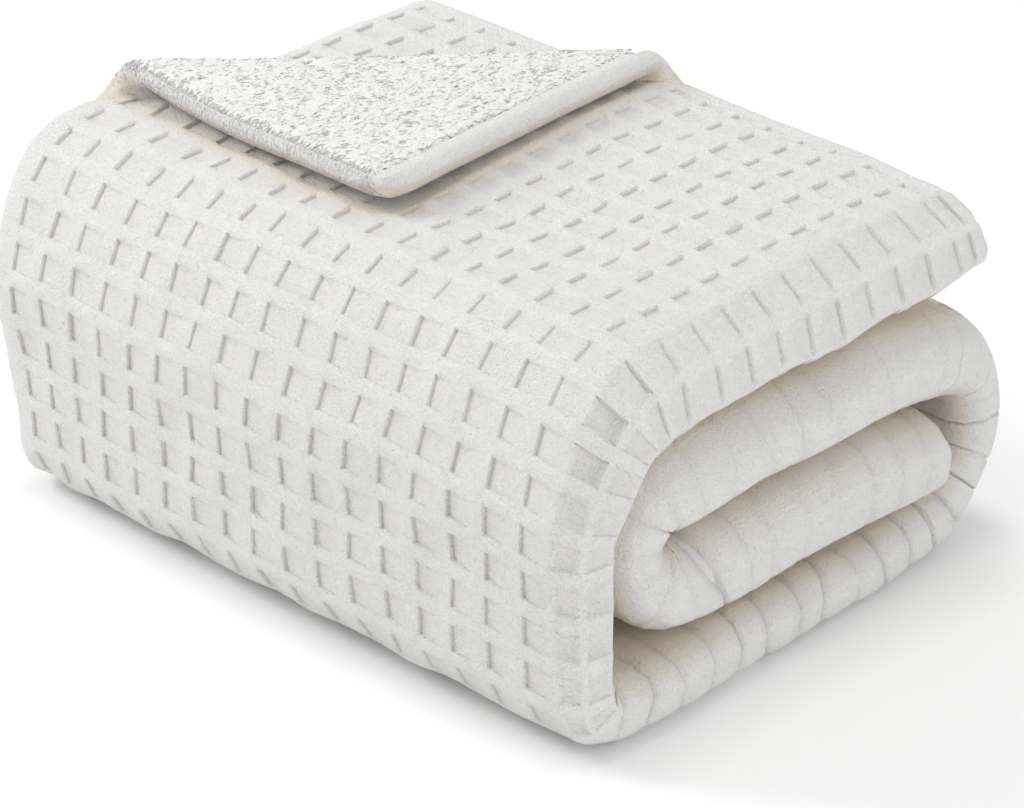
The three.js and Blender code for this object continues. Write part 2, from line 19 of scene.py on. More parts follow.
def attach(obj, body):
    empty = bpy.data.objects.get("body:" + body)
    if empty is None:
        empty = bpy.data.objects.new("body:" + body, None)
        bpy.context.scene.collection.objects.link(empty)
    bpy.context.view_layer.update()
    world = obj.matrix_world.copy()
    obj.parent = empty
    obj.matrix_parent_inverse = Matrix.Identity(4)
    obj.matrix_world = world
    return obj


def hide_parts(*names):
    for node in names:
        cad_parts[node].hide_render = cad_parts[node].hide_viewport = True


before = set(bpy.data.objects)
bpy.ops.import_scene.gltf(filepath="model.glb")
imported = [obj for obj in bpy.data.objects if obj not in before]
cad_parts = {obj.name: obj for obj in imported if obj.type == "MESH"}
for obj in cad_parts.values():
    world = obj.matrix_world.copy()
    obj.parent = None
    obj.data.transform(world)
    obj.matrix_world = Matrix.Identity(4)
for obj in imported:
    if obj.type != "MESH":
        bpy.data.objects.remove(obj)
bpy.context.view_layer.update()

LOG = logging.getLogger("blanket")
MM = 0.001
Array = np.ndarray
Colour = tuple[float, float, float, float]
Point = tuple[float, float, float]

# Waffle cloth, and the plies as shares of half the folded strip's thickness
PITCH = 24.0
PLY_LEVEL = 2 / 3
PLY_HALF = 0.306
FACE_INSIDE = 0.08
FACE_GAP = 0.02

# Widths across the strip, and the places of its ends on top
FREE_EDGE_X = -219.0
LEFT_FOLD_X = -202.0
LAST_RIDGE_X = 179.2
COLUMNS = 16
MIDDLE_PLY_EDGE_X = 178.0
TOP_EDGE_X = 20.0
TOP_EDGE_Y = 129.0
TOP_EDGE_SKEW = 0.11
TOP_EDGE_RIGHT_SKEW = 0.08
LOWER_EDGE_Y = 148.0
FRONT_RIDGE_Y = -96.0
FAN_ROWS = 10

# Hems: width on the ends and on the free edge, their seam, and the radius of the rolled edge
BACK_HEM = 12.0
SIDE_HEM = 2.6
SEAM = 0.3
HEM_ROLL = 7.0
HEM_LEAST = 0.03

# The cell of cloth without waffle, and the hem distance of cloth that is far from any edge
PLAIN = -0.5
FAR = 1e3

# Size of the tables of random values, which is more than the waffle's columns and rows
DRAWN_COLUMNS = 40
DRAWN_ROWS = 90

# Angle between faces, in degrees, from which an edge of the cloth is drawn sharp
SHARP_FROM = 44.0


class RollMark(NamedTuple):
    """A named place on the strip's middle line, with half its thickness and its right edge there."""

    name: str
    y: float
    z: float
    half: float
    right: float


ROLL_MARKS = (
    RollMark("top end", 156.5, 186, 24, 193),
    RollMark("top back", 99.5, 184.5, 26, 195),
    RollMark("top middle", 31.5, 184, 26, 194),
    RollMark("top ahead", -32.5, 181, 26, 195),
    RollMark("top front", -84.5, 175, 26.5, 196),
    RollMark("shoulder", -126.5, 165.5, 29.5, 197),
    RollMark("spine high", -153.5, 124, 23.5, 198),
    RollMark("spine middle", -156.5, 88, 20.5, 199),
    RollMark("spine low", -157, 54, 19.5, 201),
    RollMark("heel", -152.5, 23.5, 18, 203),
    RollMark("base front", -118, 17.5, 17.5, 205),
    RollMark("base ahead", -53.5, 17.2, 17.2, 203),
    RollMark("base middle", 11.5, 17, 17, 199),
    RollMark("base back", 76.5, 17, 17, 195),
    RollMark("wall foot", 128.5, 23, 17.5, 190),
    RollMark("wall low", 156.5, 56, 18, 189),
    RollMark("wall high", 152.5, 95, 19.5, 190),
    RollMark("inner back", 119.5, 117, 24, 192),
    RollMark("inner behind", 71.5, 124.5, 28, 193),
    RollMark("inner middle", 11.5, 125, 28, 194),
    RollMark("inner ahead", -43.5, 121.5, 27.5, 194),
    RollMark("curl top", -83.5, 117.5, 26, 193),
    RollMark("curl high", -104.5, 111, 22.5, 192.5),
    RollMark("curl front", -114.5, 91, 20, 192),
    RollMark("curl deep", -104.5, 71, 22, 192.5),
    RollMark("curl low", -83.5, 64.5, 25.5, 193),
    RollMark("core front", -38.5, 63.5, 26, 194),
    RollMark("core middle", 21.5, 67, 26.5, 194),
    RollMark("core back", 71.5, 66, 26.5, 193),
    RollMark("core end", 117.5, 62, 24, 191),
)


class Swell(NamedTuple):
    """A soft swell or hollow left by hand folding: its place, how far it reaches and its push."""

    place: Point
    reach: float
    push: Point


SWELLS = (
    Swell((0, -178, 60), 120, (0, -2.5, 0)),
    Swell((-120, -150, 195), 80, (0, 2, -2.5)),
    Swell((80, -20, 212), 90, (0, 0, -3)),
    Swell((-40, 70, 218), 100, (0, 0, 2)),
    Swell((215, 20, 125), 60, (3, 0, 0)),
    Swell((205, -120, 20), 60, (3, 0, 0)),
    Swell((-215, 40, 110), 90, (-2, 0, 0)),
    Swell((-205, 135, 205), 160, (-3, 4, 4)),
    Swell((-215, -155, 40), 80, (5, 4, 2)),
    Swell((200, 60, 215), 110, (1, 0, 4.5)),
    Swell((200, -120, 195), 90, (1, -3, 4)),
    Swell((224, 85, 160), 60, (1, 0, -4.5)),
    Swell((224, 12, 158), 60, (1, 0, -9)),
    Swell((224, -62, 152), 55, (1, 0, -4.5)),
    Swell((222, -25, 96), 55, (0, 0, 6)),
    Swell((222, 45, 98), 55, (0, 0, 5)),
)


class Ply(Enum):
    """The parts of the sheet across the strip, from its free edge on top to its edge inside."""

    TOP = auto()
    SHOULDER = auto()
    RIGHT_FOLD = auto()
    BOTTOM = auto()
    LEFT_FOLD = auto()
    MIDDLE = auto()


# Where each ply starts across the flat sheet, two widths there, and half the strip's usual thickness
FLAT_STARTS = {
    Ply.TOP: 0.0, Ply.SHOULDER: 398.2, Ply.RIGHT_FOLD: 413.0,
    Ply.BOTTOM: 463.0, Ply.LEFT_FOLD: 859.0, Ply.MIDDLE: 884.0}
SHOULDER_WIDTH = 14.8
BOTTOM_WIDTH = 396.0
FOLD_HALF = 24.0


class Weave(Enum):
    """How the face is worked along the strip, with the places of its rows in one pitch."""

    HEM = ()
    DASHES = (0, 0.18, 0.225, 0.30, 0.785, 0.82)
    PITS = (0, 0.18, 0.22, 0.30, 0.785, 0.82)
    WALL = (0, 0.18, 0.225, 0.69, 0.765, 0.82)
    RIBS = (0.05, 0.36, 0.64, 0.775, 0.90)
    CREASES = (0.25, 0.62, 0.745, 0.88)


def lerp(first: float | Array, second: float | Array, part: float | Array) -> float | Array:
    """Returns the value a part of the way from first to second."""
    return first + (second - first) * part


def smoothstep(value: Array, low: float, high: float) -> Array:
    """Returns 0 below low, 1 above high and a soft step between them."""
    part = np.clip((value - low) / (high - low), 0, 1)
    return part * part * (3 - 2 * part)


def spline(values: Array, share: Array) -> tuple[Array, Array]:
    """Follows a smooth curve through evenly spaced values.

    Args:
        values: The values that the curve passes through.
        share: Places along the curve, from 0 to 1.

    Returns:
        The curve's values and its slopes at those places.
    """
    count = len(values) - 1
    place = np.clip(share, 0, 1) * count
    i = np.minimum(place.astype(int), count - 1)
    t = place - i
    longer = np.concatenate([[2 * values[0] - values[1]], values, [2 * values[-1] - values[-2]]])
    before, start, end, after = (longer[i + k] for k in range(4))
    leave, arrive = (end - before) / 2, (after - start) / 2
    square = 3 * (end - start) - 2 * leave - arrive
    cube = 2 * (start - end) + leave + arrive
    point = ((cube * t + square) * t + leave) * t + start
    return point, (3 * cube * t + 2 * square) * t + leave


@dataclass(frozen=True)
class Gauge:
    """The strip's section at some lengths: middle, direction, half thickness and right edge."""

    y: Array
    z: Array
    along_y: Array
    along_z: Array
    half: Array
    right: Array

    def point(self, x: Array, level: Array) -> Array:
        """Finds points of the strip.

        Args:
            x: Places across the strip.
            level: Places out from its middle, as shares of half its thickness.

        Returns:
            The points, with their coordinates on the last axis.
        """
        out = level * self.half
        y, z = self.y + self.along_z * out, self.z - self.along_y * out
        return np.stack([x + 0 * out, y, z], axis=-1)


class Roll:
    """The course of the folded strip round the roll, measured along its outer face."""

    SAMPLES = 6000

    def __init__(self, marks: tuple[RollMark, ...]) -> None:
        """Measures the course through the marks.

        Args:
            marks: Places on the strip's middle line, from its end on top to its end in the core.
        """
        self.marks = marks
        self.shares = np.linspace(0, 1, self.SAMPLES + 1)
        gauge = self._gauge_at_share(self.shares)
        outer = gauge.point(np.zeros_like(self.shares), np.ones_like(self.shares))
        steps = np.linalg.norm(np.diff(outer, axis=0), axis=1)
        self.lengths = np.concatenate([[0], np.cumsum(steps)])
        self.top_y = gauge.y[: int(np.argmin(gauge.y)) + 1]
        self.end = float(self.lengths[-1])
        self.front_ridge = float(self.length_at_top(FRONT_RIDGE_Y))

    def _gauge_at_share(self, share: Array) -> Gauge:
        """Finds the strip's section at shares of the course.

        Args:
            share: Shares of the way through the marks, from 0 to 1.

        Returns:
            The section at each share.
        """
        measures = np.array([(mark.y, mark.z, mark.half, mark.right) for mark in self.marks], float)
        (y, slope_y), (z, slope_z), (half, _), (right, _) = (spline(row, share) for row in measures.T)
        slope = np.hypot(slope_y, slope_z)
        return Gauge(y, z, slope_y / slope, slope_z / slope, half, right)

    def gauge(self, length: Array) -> Gauge:
        """Finds the strip's section at lengths along its outer face.

        Args:
            length: Lengths from the strip's end on top. Below zero the strip runs straight on.

        Returns:
            The section at each length.
        """
        share = np.interp(np.maximum(length, 0), self.lengths, self.shares)
        gauge = self._gauge_at_share(share)
        before = np.minimum(length, 0)
        return Gauge(
            gauge.y + gauge.along_y * before, gauge.z + gauge.along_z * before,
            gauge.along_y, gauge.along_z, gauge.half, gauge.right)

    def length_at_top(self, y: float | Array) -> float | Array:
        """Returns the length at which the strip's top pass is at y."""
        return np.interp(-np.asarray(y), -self.top_y, self.lengths[: len(self.top_y)])

    def length_at_mark(self, name: str) -> float:
        """Returns the length at a named mark."""
        i = [mark.name for mark in self.marks].index(name)
        return float(self.lengths[round(i / (len(self.marks) - 1) * self.SAMPLES)])


@dataclass
class Turn:
    """The line along which the corner of the top ply turns over, and its bend."""

    roll: Roll
    left_y: float = -106.0
    left_radius: float = 13.0
    back_radius: float = 10.5
    pressed: float = 3.6
    press_shape: float = 0.7
    thin: float = 0.15
    rest: float = 17.0
    settle: float = 70.0
    drift: float = 16.0
    corner_round: float = 24.0

    def __post_init__(self) -> None:
        """Works out the turning line in the flat cloth."""
        self.left = np.array([FREE_EDGE_X, self.roll.length_at_top(self.left_y)])
        self.back = np.array([TOP_EDGE_X, self.roll.length_at_top(TOP_EDGE_Y)])
        run = self.back - self.left
        self.length = float(np.hypot(*run))
        self.heading = run / self.length
        corner = self.roll.length_at_top(top_edge_y(FREE_EDGE_X)) - self.left[1]
        self.corner_out = abs(corner * self.heading[0])

    def split(self, x: Array, length: Array) -> tuple[Array, Array]:
        """Measures points of the flat cloth from the turning line.

        Args:
            x: Places across the strip.
            length: Lengths along it.

        Returns:
            How far the points lie along the turning line, and past it.
        """
        across, down = x - self.left[0], length - self.left[1]
        along = across * self.heading[0] + down * self.heading[1]
        return along, across * self.heading[1] - down * self.heading[0]

    def points(self, along: Array, out: Array, w: Array) -> Array:
        """Bends cloth over the turning line and lays it back on the top.

        Args:
            along: Distances along the turning line.
            out: Distances past it in the flat cloth.
            w: Heights in the ply, as shares of half the strip's thickness.

        Returns:
            The points of the turned cloth.
        """
        part = along / self.length
        gauge = self.roll.gauge(lerp(self.left[1], self.back[1], part))
        pressed = self.pressed * np.sin(math.pi * np.clip(part, 0, 1)) ** self.press_shape
        radius = lerp(self.left_radius, self.back_radius, part) - pressed
        angle = np.clip(out / radius, 0, math.pi)
        beyond = np.maximum(out - math.pi * radius, 0)
        settle = smoothstep(beyond, 0, self.settle) * np.maximum(2 * radius - self.rest, 0)
        drift = self.drift * beyond / self.corner_out
        thick = w * gauge.half * (1 - self.thin * smoothstep(angle, 0, math.pi))
        reach = radius * np.sin(angle) - beyond - thick * np.sin(angle)
        lift = radius * (1 - np.cos(angle)) - settle + thick * np.cos(angle)
        foot = lerp(self.left[0], self.back[0], part) - drift * self.heading[0]
        spot = gauge.point(foot + reach * self.heading[1], np.full_like(foot, PLY_LEVEL))
        ahead = -drift * self.heading[1] - reach * self.heading[0]
        spot[..., 1] += gauge.along_y * ahead + gauge.along_z * lift
        spot[..., 2] += gauge.along_z * ahead - gauge.along_y * lift
        return spot


def top_edge_y(x: float | Array) -> float | Array:
    """Returns where the top ply ends at x."""
    skew = np.where(np.asarray(x) < TOP_EDGE_X, TOP_EDGE_SKEW, TOP_EDGE_RIGHT_SKEW)
    return TOP_EDGE_Y + skew * (TOP_EDGE_X - x)


@dataclass(frozen=True)
class Settling:
    """How the finished roll sinks at its ends, swells a little by hand and lies flat on its base."""

    crown: float = 0.045
    crown_from: float = 215.0
    crown_over: float = 70.0
    lean: float = 0.05
    lean_from: float = -130.0
    lean_over: float = 89.0
    lean_middle: float = 120.0
    free_height: float = 40.0
    swell_fall: float = 2.0
    floor_snap: float = 1.2
    middle: tuple[float, float] = (0.55, -0.965)

    def apply(self, points: Array) -> Array:
        """Settles points of the rolled strip.

        Args:
            points: Points of the strip as rolled.

        Returns:
            The points in the shared frame.
        """
        x = points[..., 0]
        crown = self.crown * np.sqrt(np.clip((self.crown_from - x) / self.crown_over, 0, 1))
        place = points.copy()
        place[..., 2] *= 1 + crown
        lean = self.lean * np.maximum((self.lean_from - x) / self.lean_over, 0)
        place[..., 0] -= lean * (place[..., 2] - self.lean_middle)
        free = np.clip(place[..., 2] / self.free_height, 0, 1)
        shift = np.zeros_like(place)
        for swell in SWELLS:
            distance = np.linalg.norm(place - np.array(swell.place), axis=-1)
            share = np.exp(-self.swell_fall * (distance / swell.reach) ** 2) * free
            shift += share[..., None] * np.array(swell.push, float)
        place += shift
        place[..., 2] = np.where(place[..., 2] < self.floor_snap, 0, place[..., 2])
        place[..., 0] -= self.middle[0]
        place[..., 1] -= self.middle[1]
        return place


@dataclass(frozen=True)
class Ripple:
    """Soft unevenness over the flat cloth, as a sum of slanted waves."""

    seed: int
    wavelength: float
    waves: int = 7
    spread: tuple[float, float] = (0.7, 1.6)

    def at(self, u: Array, v: Array) -> Array:
        """Adds up the waves.

        Args:
            u: Places across the flat cloth.
            v: Places along it.

        Returns:
            The unevenness there, usually between -1 and 1.
        """
        draw = np.random.default_rng(self.seed)
        total = np.zeros(np.broadcast(u, v).shape)
        for _ in range(self.waves):
            heading, phase = draw.uniform(0, math.tau, 2)
            step = math.tau / (self.wavelength * draw.uniform(*self.spread))
            total += np.sin((u * math.cos(heading) + v * math.sin(heading)) * step + phase)
        return total / math.sqrt(self.waves / 2)


@dataclass(frozen=True)
class Curls:
    """The lumps of a curly pile: rounded heaps on a scattered grid."""

    seed: int
    spacing: float
    reach: float = 0.85
    lowest: float = 0.55
    table: int = 97

    def at(self, u: Array, v: Array) -> Array:
        """Finds the highest heap over each place.

        Args:
            u: Places across the flat cloth.
            v: Places along it.

        Returns:
            The height of the pile there, from 0 to about 1.
        """
        draw = np.random.default_rng(self.seed)
        shift_u, shift_v, heap = draw.random((3, self.table, self.table))
        place_u, place_v = u / self.spacing, v / self.spacing
        base_u, base_v = np.floor(place_u).astype(int), np.floor(place_v).astype(int)
        height = np.zeros(np.broadcast(u, v).shape)
        for i in (-1, 0, 1):
            for j in (-1, 0, 1):
                cell = (base_u + i) % self.table, (base_v + j) % self.table
                du = place_u - (base_u + i + shift_u[cell])
                dv = place_v - (base_v + j + shift_v[cell])
                dome = np.clip(1 - (du * du + dv * dv) / self.reach ** 2, 0, 1)
                height = np.maximum(height, lerp(self.lowest, 1, heap[cell]) * np.sqrt(dome))
        return height


@dataclass(frozen=True)
class Station:
    """A line of points along the strip, at one place across the sheet.

    The place is x on the top and middle plies, a share of the width on the shoulder of the right
    fold and on the bottom ply, and an angle in degrees round a fold. The cell counts the waffle's
    columns, and the hem is the distance from the nearer long edge.
    """

    ply: Ply
    at: float
    cell: float = PLAIN
    hem: float = FAR

    def edge_y(self) -> float:
        """Finds where the sheet ends on top at this station.

        Returns:
            The end's place along Y.
        """
        if self.ply is Ply.TOP:
            return top_edge_y(self.at)
        if self.ply is Ply.SHOULDER:
            return top_edge_y(LAST_RIDGE_X)
        if self.ply is Ply.RIGHT_FOLD:
            return lerp(top_edge_y(LAST_RIDGE_X), LOWER_EDGE_Y, (90 - self.at) / 180)
        return LOWER_EDGE_Y

    def flat(self) -> float:
        """Finds the place across the flat sheet, for the cloth's pattern.

        Returns:
            The distance from the free edge on top.
        """
        radius = PLY_LEVEL * FOLD_HALF
        spans = {
            Ply.TOP: self.at - FREE_EDGE_X,
            Ply.SHOULDER: self.at * SHOULDER_WIDTH,
            Ply.RIGHT_FOLD: math.radians(90 - self.at) * radius,
            Ply.BOTTOM: self.at * BOTTOM_WIDTH,
            Ply.LEFT_FOLD: math.radians(self.at + 90) * radius / 2,
            Ply.MIDDLE: self.at - LEFT_FOLD_X}
        return FLAT_STARTS[self.ply] + spans[self.ply]

    def place(self, w: Array, gauge: Gauge) -> tuple[Array, Array]:
        """Finds where heights in the ply lie in the strip's section.

        Args:
            w: Heights in the ply, as shares of half the strip's thickness.
            gauge: The strip's section.

        Returns:
            Places across the strip, and levels out from its middle.
        """
        angle = math.radians(self.at)
        if self.ply is Ply.TOP:
            return np.full_like(w, self.at), PLY_LEVEL + w
        if self.ply is Ply.SHOULDER:
            return lerp(LAST_RIDGE_X, gauge.right, self.at), PLY_LEVEL + w
        if self.ply is Ply.RIGHT_FOLD:
            reach = PLY_LEVEL + w
            return gauge.right + reach * gauge.half * math.cos(angle), reach * math.sin(angle)
        if self.ply is Ply.BOTTOM:
            return lerp(gauge.right, LEFT_FOLD_X, self.at), -PLY_LEVEL - w
        if self.ply is Ply.LEFT_FOLD:
            reach = PLY_LEVEL / 2 + w
            x = LEFT_FOLD_X - reach * gauge.half * math.cos(angle)
            return x, -PLY_LEVEL / 2 + reach * math.sin(angle)
        return np.full_like(w, self.at), w


@dataclass(frozen=True)
class Row:
    """A line of points across the sheet.

    A fanned row lies a share of the way from the sheet's end on top to the first straight ridge,
    plus an offset. A straight row lies at a length along the strip.
    """

    offset: float
    fan: float | None = None
    hem: float = FAR
    cell: float = PLAIN
    weave: Weave = Weave.HEM

    def length(self, edge: float, front: float) -> float:
        """Finds where the row crosses a station.

        Args:
            edge: The length at which the station ends on top.
            front: The length at the first straight ridge.

        Returns:
            The row's length along the strip there.
        """
        if self.fan is None:
            return self.offset
        return lerp(edge, front, self.fan) + self.offset


@dataclass
class FoldedStrip:
    """The whole folded and rolled strip, which places points of either cloth."""

    roll: Roll = field(default_factory=lambda: Roll(ROLL_MARKS))
    settling: Settling = field(default_factory=Settling)
    edge_points: int = 40

    def __post_init__(self) -> None:
        """Lays the turning line on the roll."""
        self.turn = Turn(self.roll)

    def lengths(self, station: Station, rows: list[Row]) -> Array:
        """Returns the lengths of rows along the strip at a station."""
        edge = float(self.roll.length_at_top(station.edge_y()))
        return np.array([row.length(edge, self.roll.front_ridge) for row in rows])

    def _rounded(self, x: Array, lengths: Array) -> tuple[Array, Array]:
        """Rounds the free corner of the top ply in the flat cloth.

        Args:
            x: Places across the strip.
            lengths: Lengths along it.

        Returns:
            The places and lengths after rounding.
        """
        size = self.turn.corner_round
        edge = self.roll.length_at_top(top_edge_y(x))
        p = np.clip(1 - (x - FREE_EDGE_X) / size, 0, 1)
        q = np.clip(1 - (lengths - edge) / size, 0, 1)
        x_shift = size * p * (1 - np.sqrt(1 - q * q / 2))
        length_shift = size * q * (1 - np.sqrt(1 - p * p / 2))
        return x + x_shift, lengths + length_shift

    def top_points(self, x: Array, lengths: Array, w: Array) -> Array:
        """Places points of the top ply, with its corner turned over.

        Args:
            x: Places across the strip.
            lengths: Lengths along it.
            w: Heights in the ply, as shares of half the strip's thickness.

        Returns:
            The points in the shared frame.
        """
        x, lengths = self._rounded(x, lengths)
        along, out = self.turn.split(x, lengths)
        flat = self.roll.gauge(lengths).point(x, PLY_LEVEL + w)
        turned = self.turn.points(along, np.maximum(out, 0), w)
        return self.settling.apply(np.where((out > 0)[..., None], turned, flat))

    def turned_edge(self) -> Array:
        """Follows the free edges of the turned corner.

        Returns:
            Points along both edges.
        """
        back_x = np.linspace(FREE_EDGE_X, TOP_EDGE_X, self.edge_points)
        back = self.roll.length_at_top(top_edge_y(back_x))
        side = np.linspace(self.turn.left[1], back[0], self.edge_points)
        x = np.concatenate([np.full_like(side, FREE_EDGE_X), back_x])
        return self.top_points(x, np.concatenate([side, back]), np.zeros_like(x))

    def points(self, station: Station, lengths: Array, w: Array, sway: tuple[Array, Array]) -> Array:
        """Places a line of points.

        Args:
            station: The line's place across the sheet.
            lengths: Lengths along the strip.
            w: Heights in the ply, as shares of half the strip's thickness.
            sway: Small shifts of the cloth across and along the strip.

        Returns:
            The points in the shared frame.
        """
        lengths = lengths + sway[1]
        if station.ply is Ply.TOP:
            return self.top_points(station.at + sway[0], lengths, w)
        gauge = self.roll.gauge(lengths)
        x, level = station.place(w, gauge)
        return self.settling.apply(gauge.point(x + sway[0], level))


def hem_roll(distance: float | Array) -> float | Array:
    """Returns half the height of the rolled hem at a distance from its edge, as a share of a ply."""
    part = np.clip(1 - np.asarray(distance) / HEM_ROLL, 0, 1)
    return np.maximum(PLY_HALF * np.sqrt(1 - part * part), HEM_LEAST)


def unit(vectors: Array) -> Array:
    """Returns vectors at a length of 1."""
    return vectors / np.linalg.norm(vectors, axis=1, keepdims=True)


def mesh_of(name: str, shape: bmesh.types.BMesh) -> bpy.types.Mesh:
    """Writes a shape to a new mesh, and frees the shape.

    Args:
        name: The mesh's name.
        shape: The shape.

    Returns:
        The mesh.
    """
    mesh = bpy.data.meshes.new(name)
    shape.to_mesh(mesh)
    shape.free()
    return mesh


def put(name: str, data: bpy.types.ID) -> bpy.types.Object:
    """Puts a mesh, light or camera in the scene.

    Args:
        name: The object's name.
        data: What it holds.

    Returns:
        The object, at the origin.
    """
    made = bpy.data.objects.new(name, data)
    bpy.context.scene.collection.objects.link(made)
    return made


def raise_faces(shape: bmesh.types.BMesh) -> list[bmesh.types.BMFace]:
    """Extrudes all the faces of a shape upwards, by 1.

    Args:
        shape: The shape.

    Returns:
        The raised faces.
    """
    raised = bmesh.ops.extrude_face_region(shape, geom=shape.faces[:])["geom"]
    top = [part for part in raised if isinstance(part, bmesh.types.BMVert)]
    bmesh.ops.translate(shape, verts=top, vec=(0, 0, 1))
    return [part for part in raised if isinstance(part, bmesh.types.BMFace)]


def corners_of(mesh: bpy.types.Mesh) -> Array:
    """Reads where a mesh's vertices are.

    Args:
        mesh: The mesh.

    Returns:
        The places, one to a row.
    """
    place = np.empty(len(mesh.vertices) * 3, np.float32)
    mesh.vertices.foreach_get("co", place)
    return place.reshape(-1, 3)


def shape_mesh(mesh: bpy.types.Mesh, points: Array) -> None:
    """Moves a mesh's vertices to points in millimetres, and shades it smooth."""
    mesh.vertices.foreach_set("co", (points * MM).astype(np.float32).ravel())
    mesh.polygons.foreach_set("use_smooth", np.ones(len(mesh.polygons), bool))


def sheet_object(
        name: str, outer: Array, inner: Array, flat: Array,
        marks: dict[str, Array]) -> bpy.types.Object:
    """Makes a closed sheet with two sides from a grid that is extruded once.

    Args:
        name: The piece's name.
        outer: Points of the outer side, by station and row, in millimetres.
        inner: Points of the inner side.
        flat: Places in the flat cloth, for the cloth's own map.
        marks: Named values of the outer side, by station and row.

    Returns:
        The finished object, at the origin.
    """
    stations, rows = outer.shape[:2]
    shape = bmesh.new()
    bmesh.ops.create_grid(shape, x_segments=stations - 1, y_segments=rows - 1, size=1)
    raise_faces(shape)
    bmesh.ops.recalc_face_normals(shape, faces=shape.faces[:])
    bmesh.ops.reverse_faces(shape, faces=shape.faces[:])
    mesh = mesh_of(name, shape)
    place = corners_of(mesh)
    i = np.rint((place[:, 0] + 1) / 2 * (stations - 1)).astype(int)
    j = np.rint((place[:, 1] + 1) / 2 * (rows - 1)).astype(int)
    upper = place[:, 2] > 0.5
    shape_mesh(mesh, np.where(upper[:, None], outer[i, j], inner[i, j]))
    corner = np.empty(len(mesh.loops), np.int32)
    mesh.loops.foreach_get("vertex_index", corner)
    cloth = mesh.uv_layers.new(name="cloth")
    cloth.data.foreach_set("uv", (flat[i, j][corner] * MM).astype(np.float32).ravel())
    for mark, values in marks.items():
        layer = mesh.attributes.new(mark, "FLOAT", "POINT")
        layer.data.foreach_set("value", np.where(upper, values[i, j], 0).astype(np.float32))
    mesh.set_sharp_from_angle(angle=math.radians(SHARP_FROM))
    mesh.update()
    return put(name, mesh)


class Mottle(NamedTuple):
    """How two colours mix unevenly: a noise's scale and detail, and its span that goes to 0..most."""

    scale: float
    detail: float
    low: float
    high: float
    most: float


class Grain(NamedTuple):
    """A layer of fine relief: a noise's scale, detail and roughness, and its depth in millimetres."""

    scale: float
    detail: float
    roughness: float
    depth: float


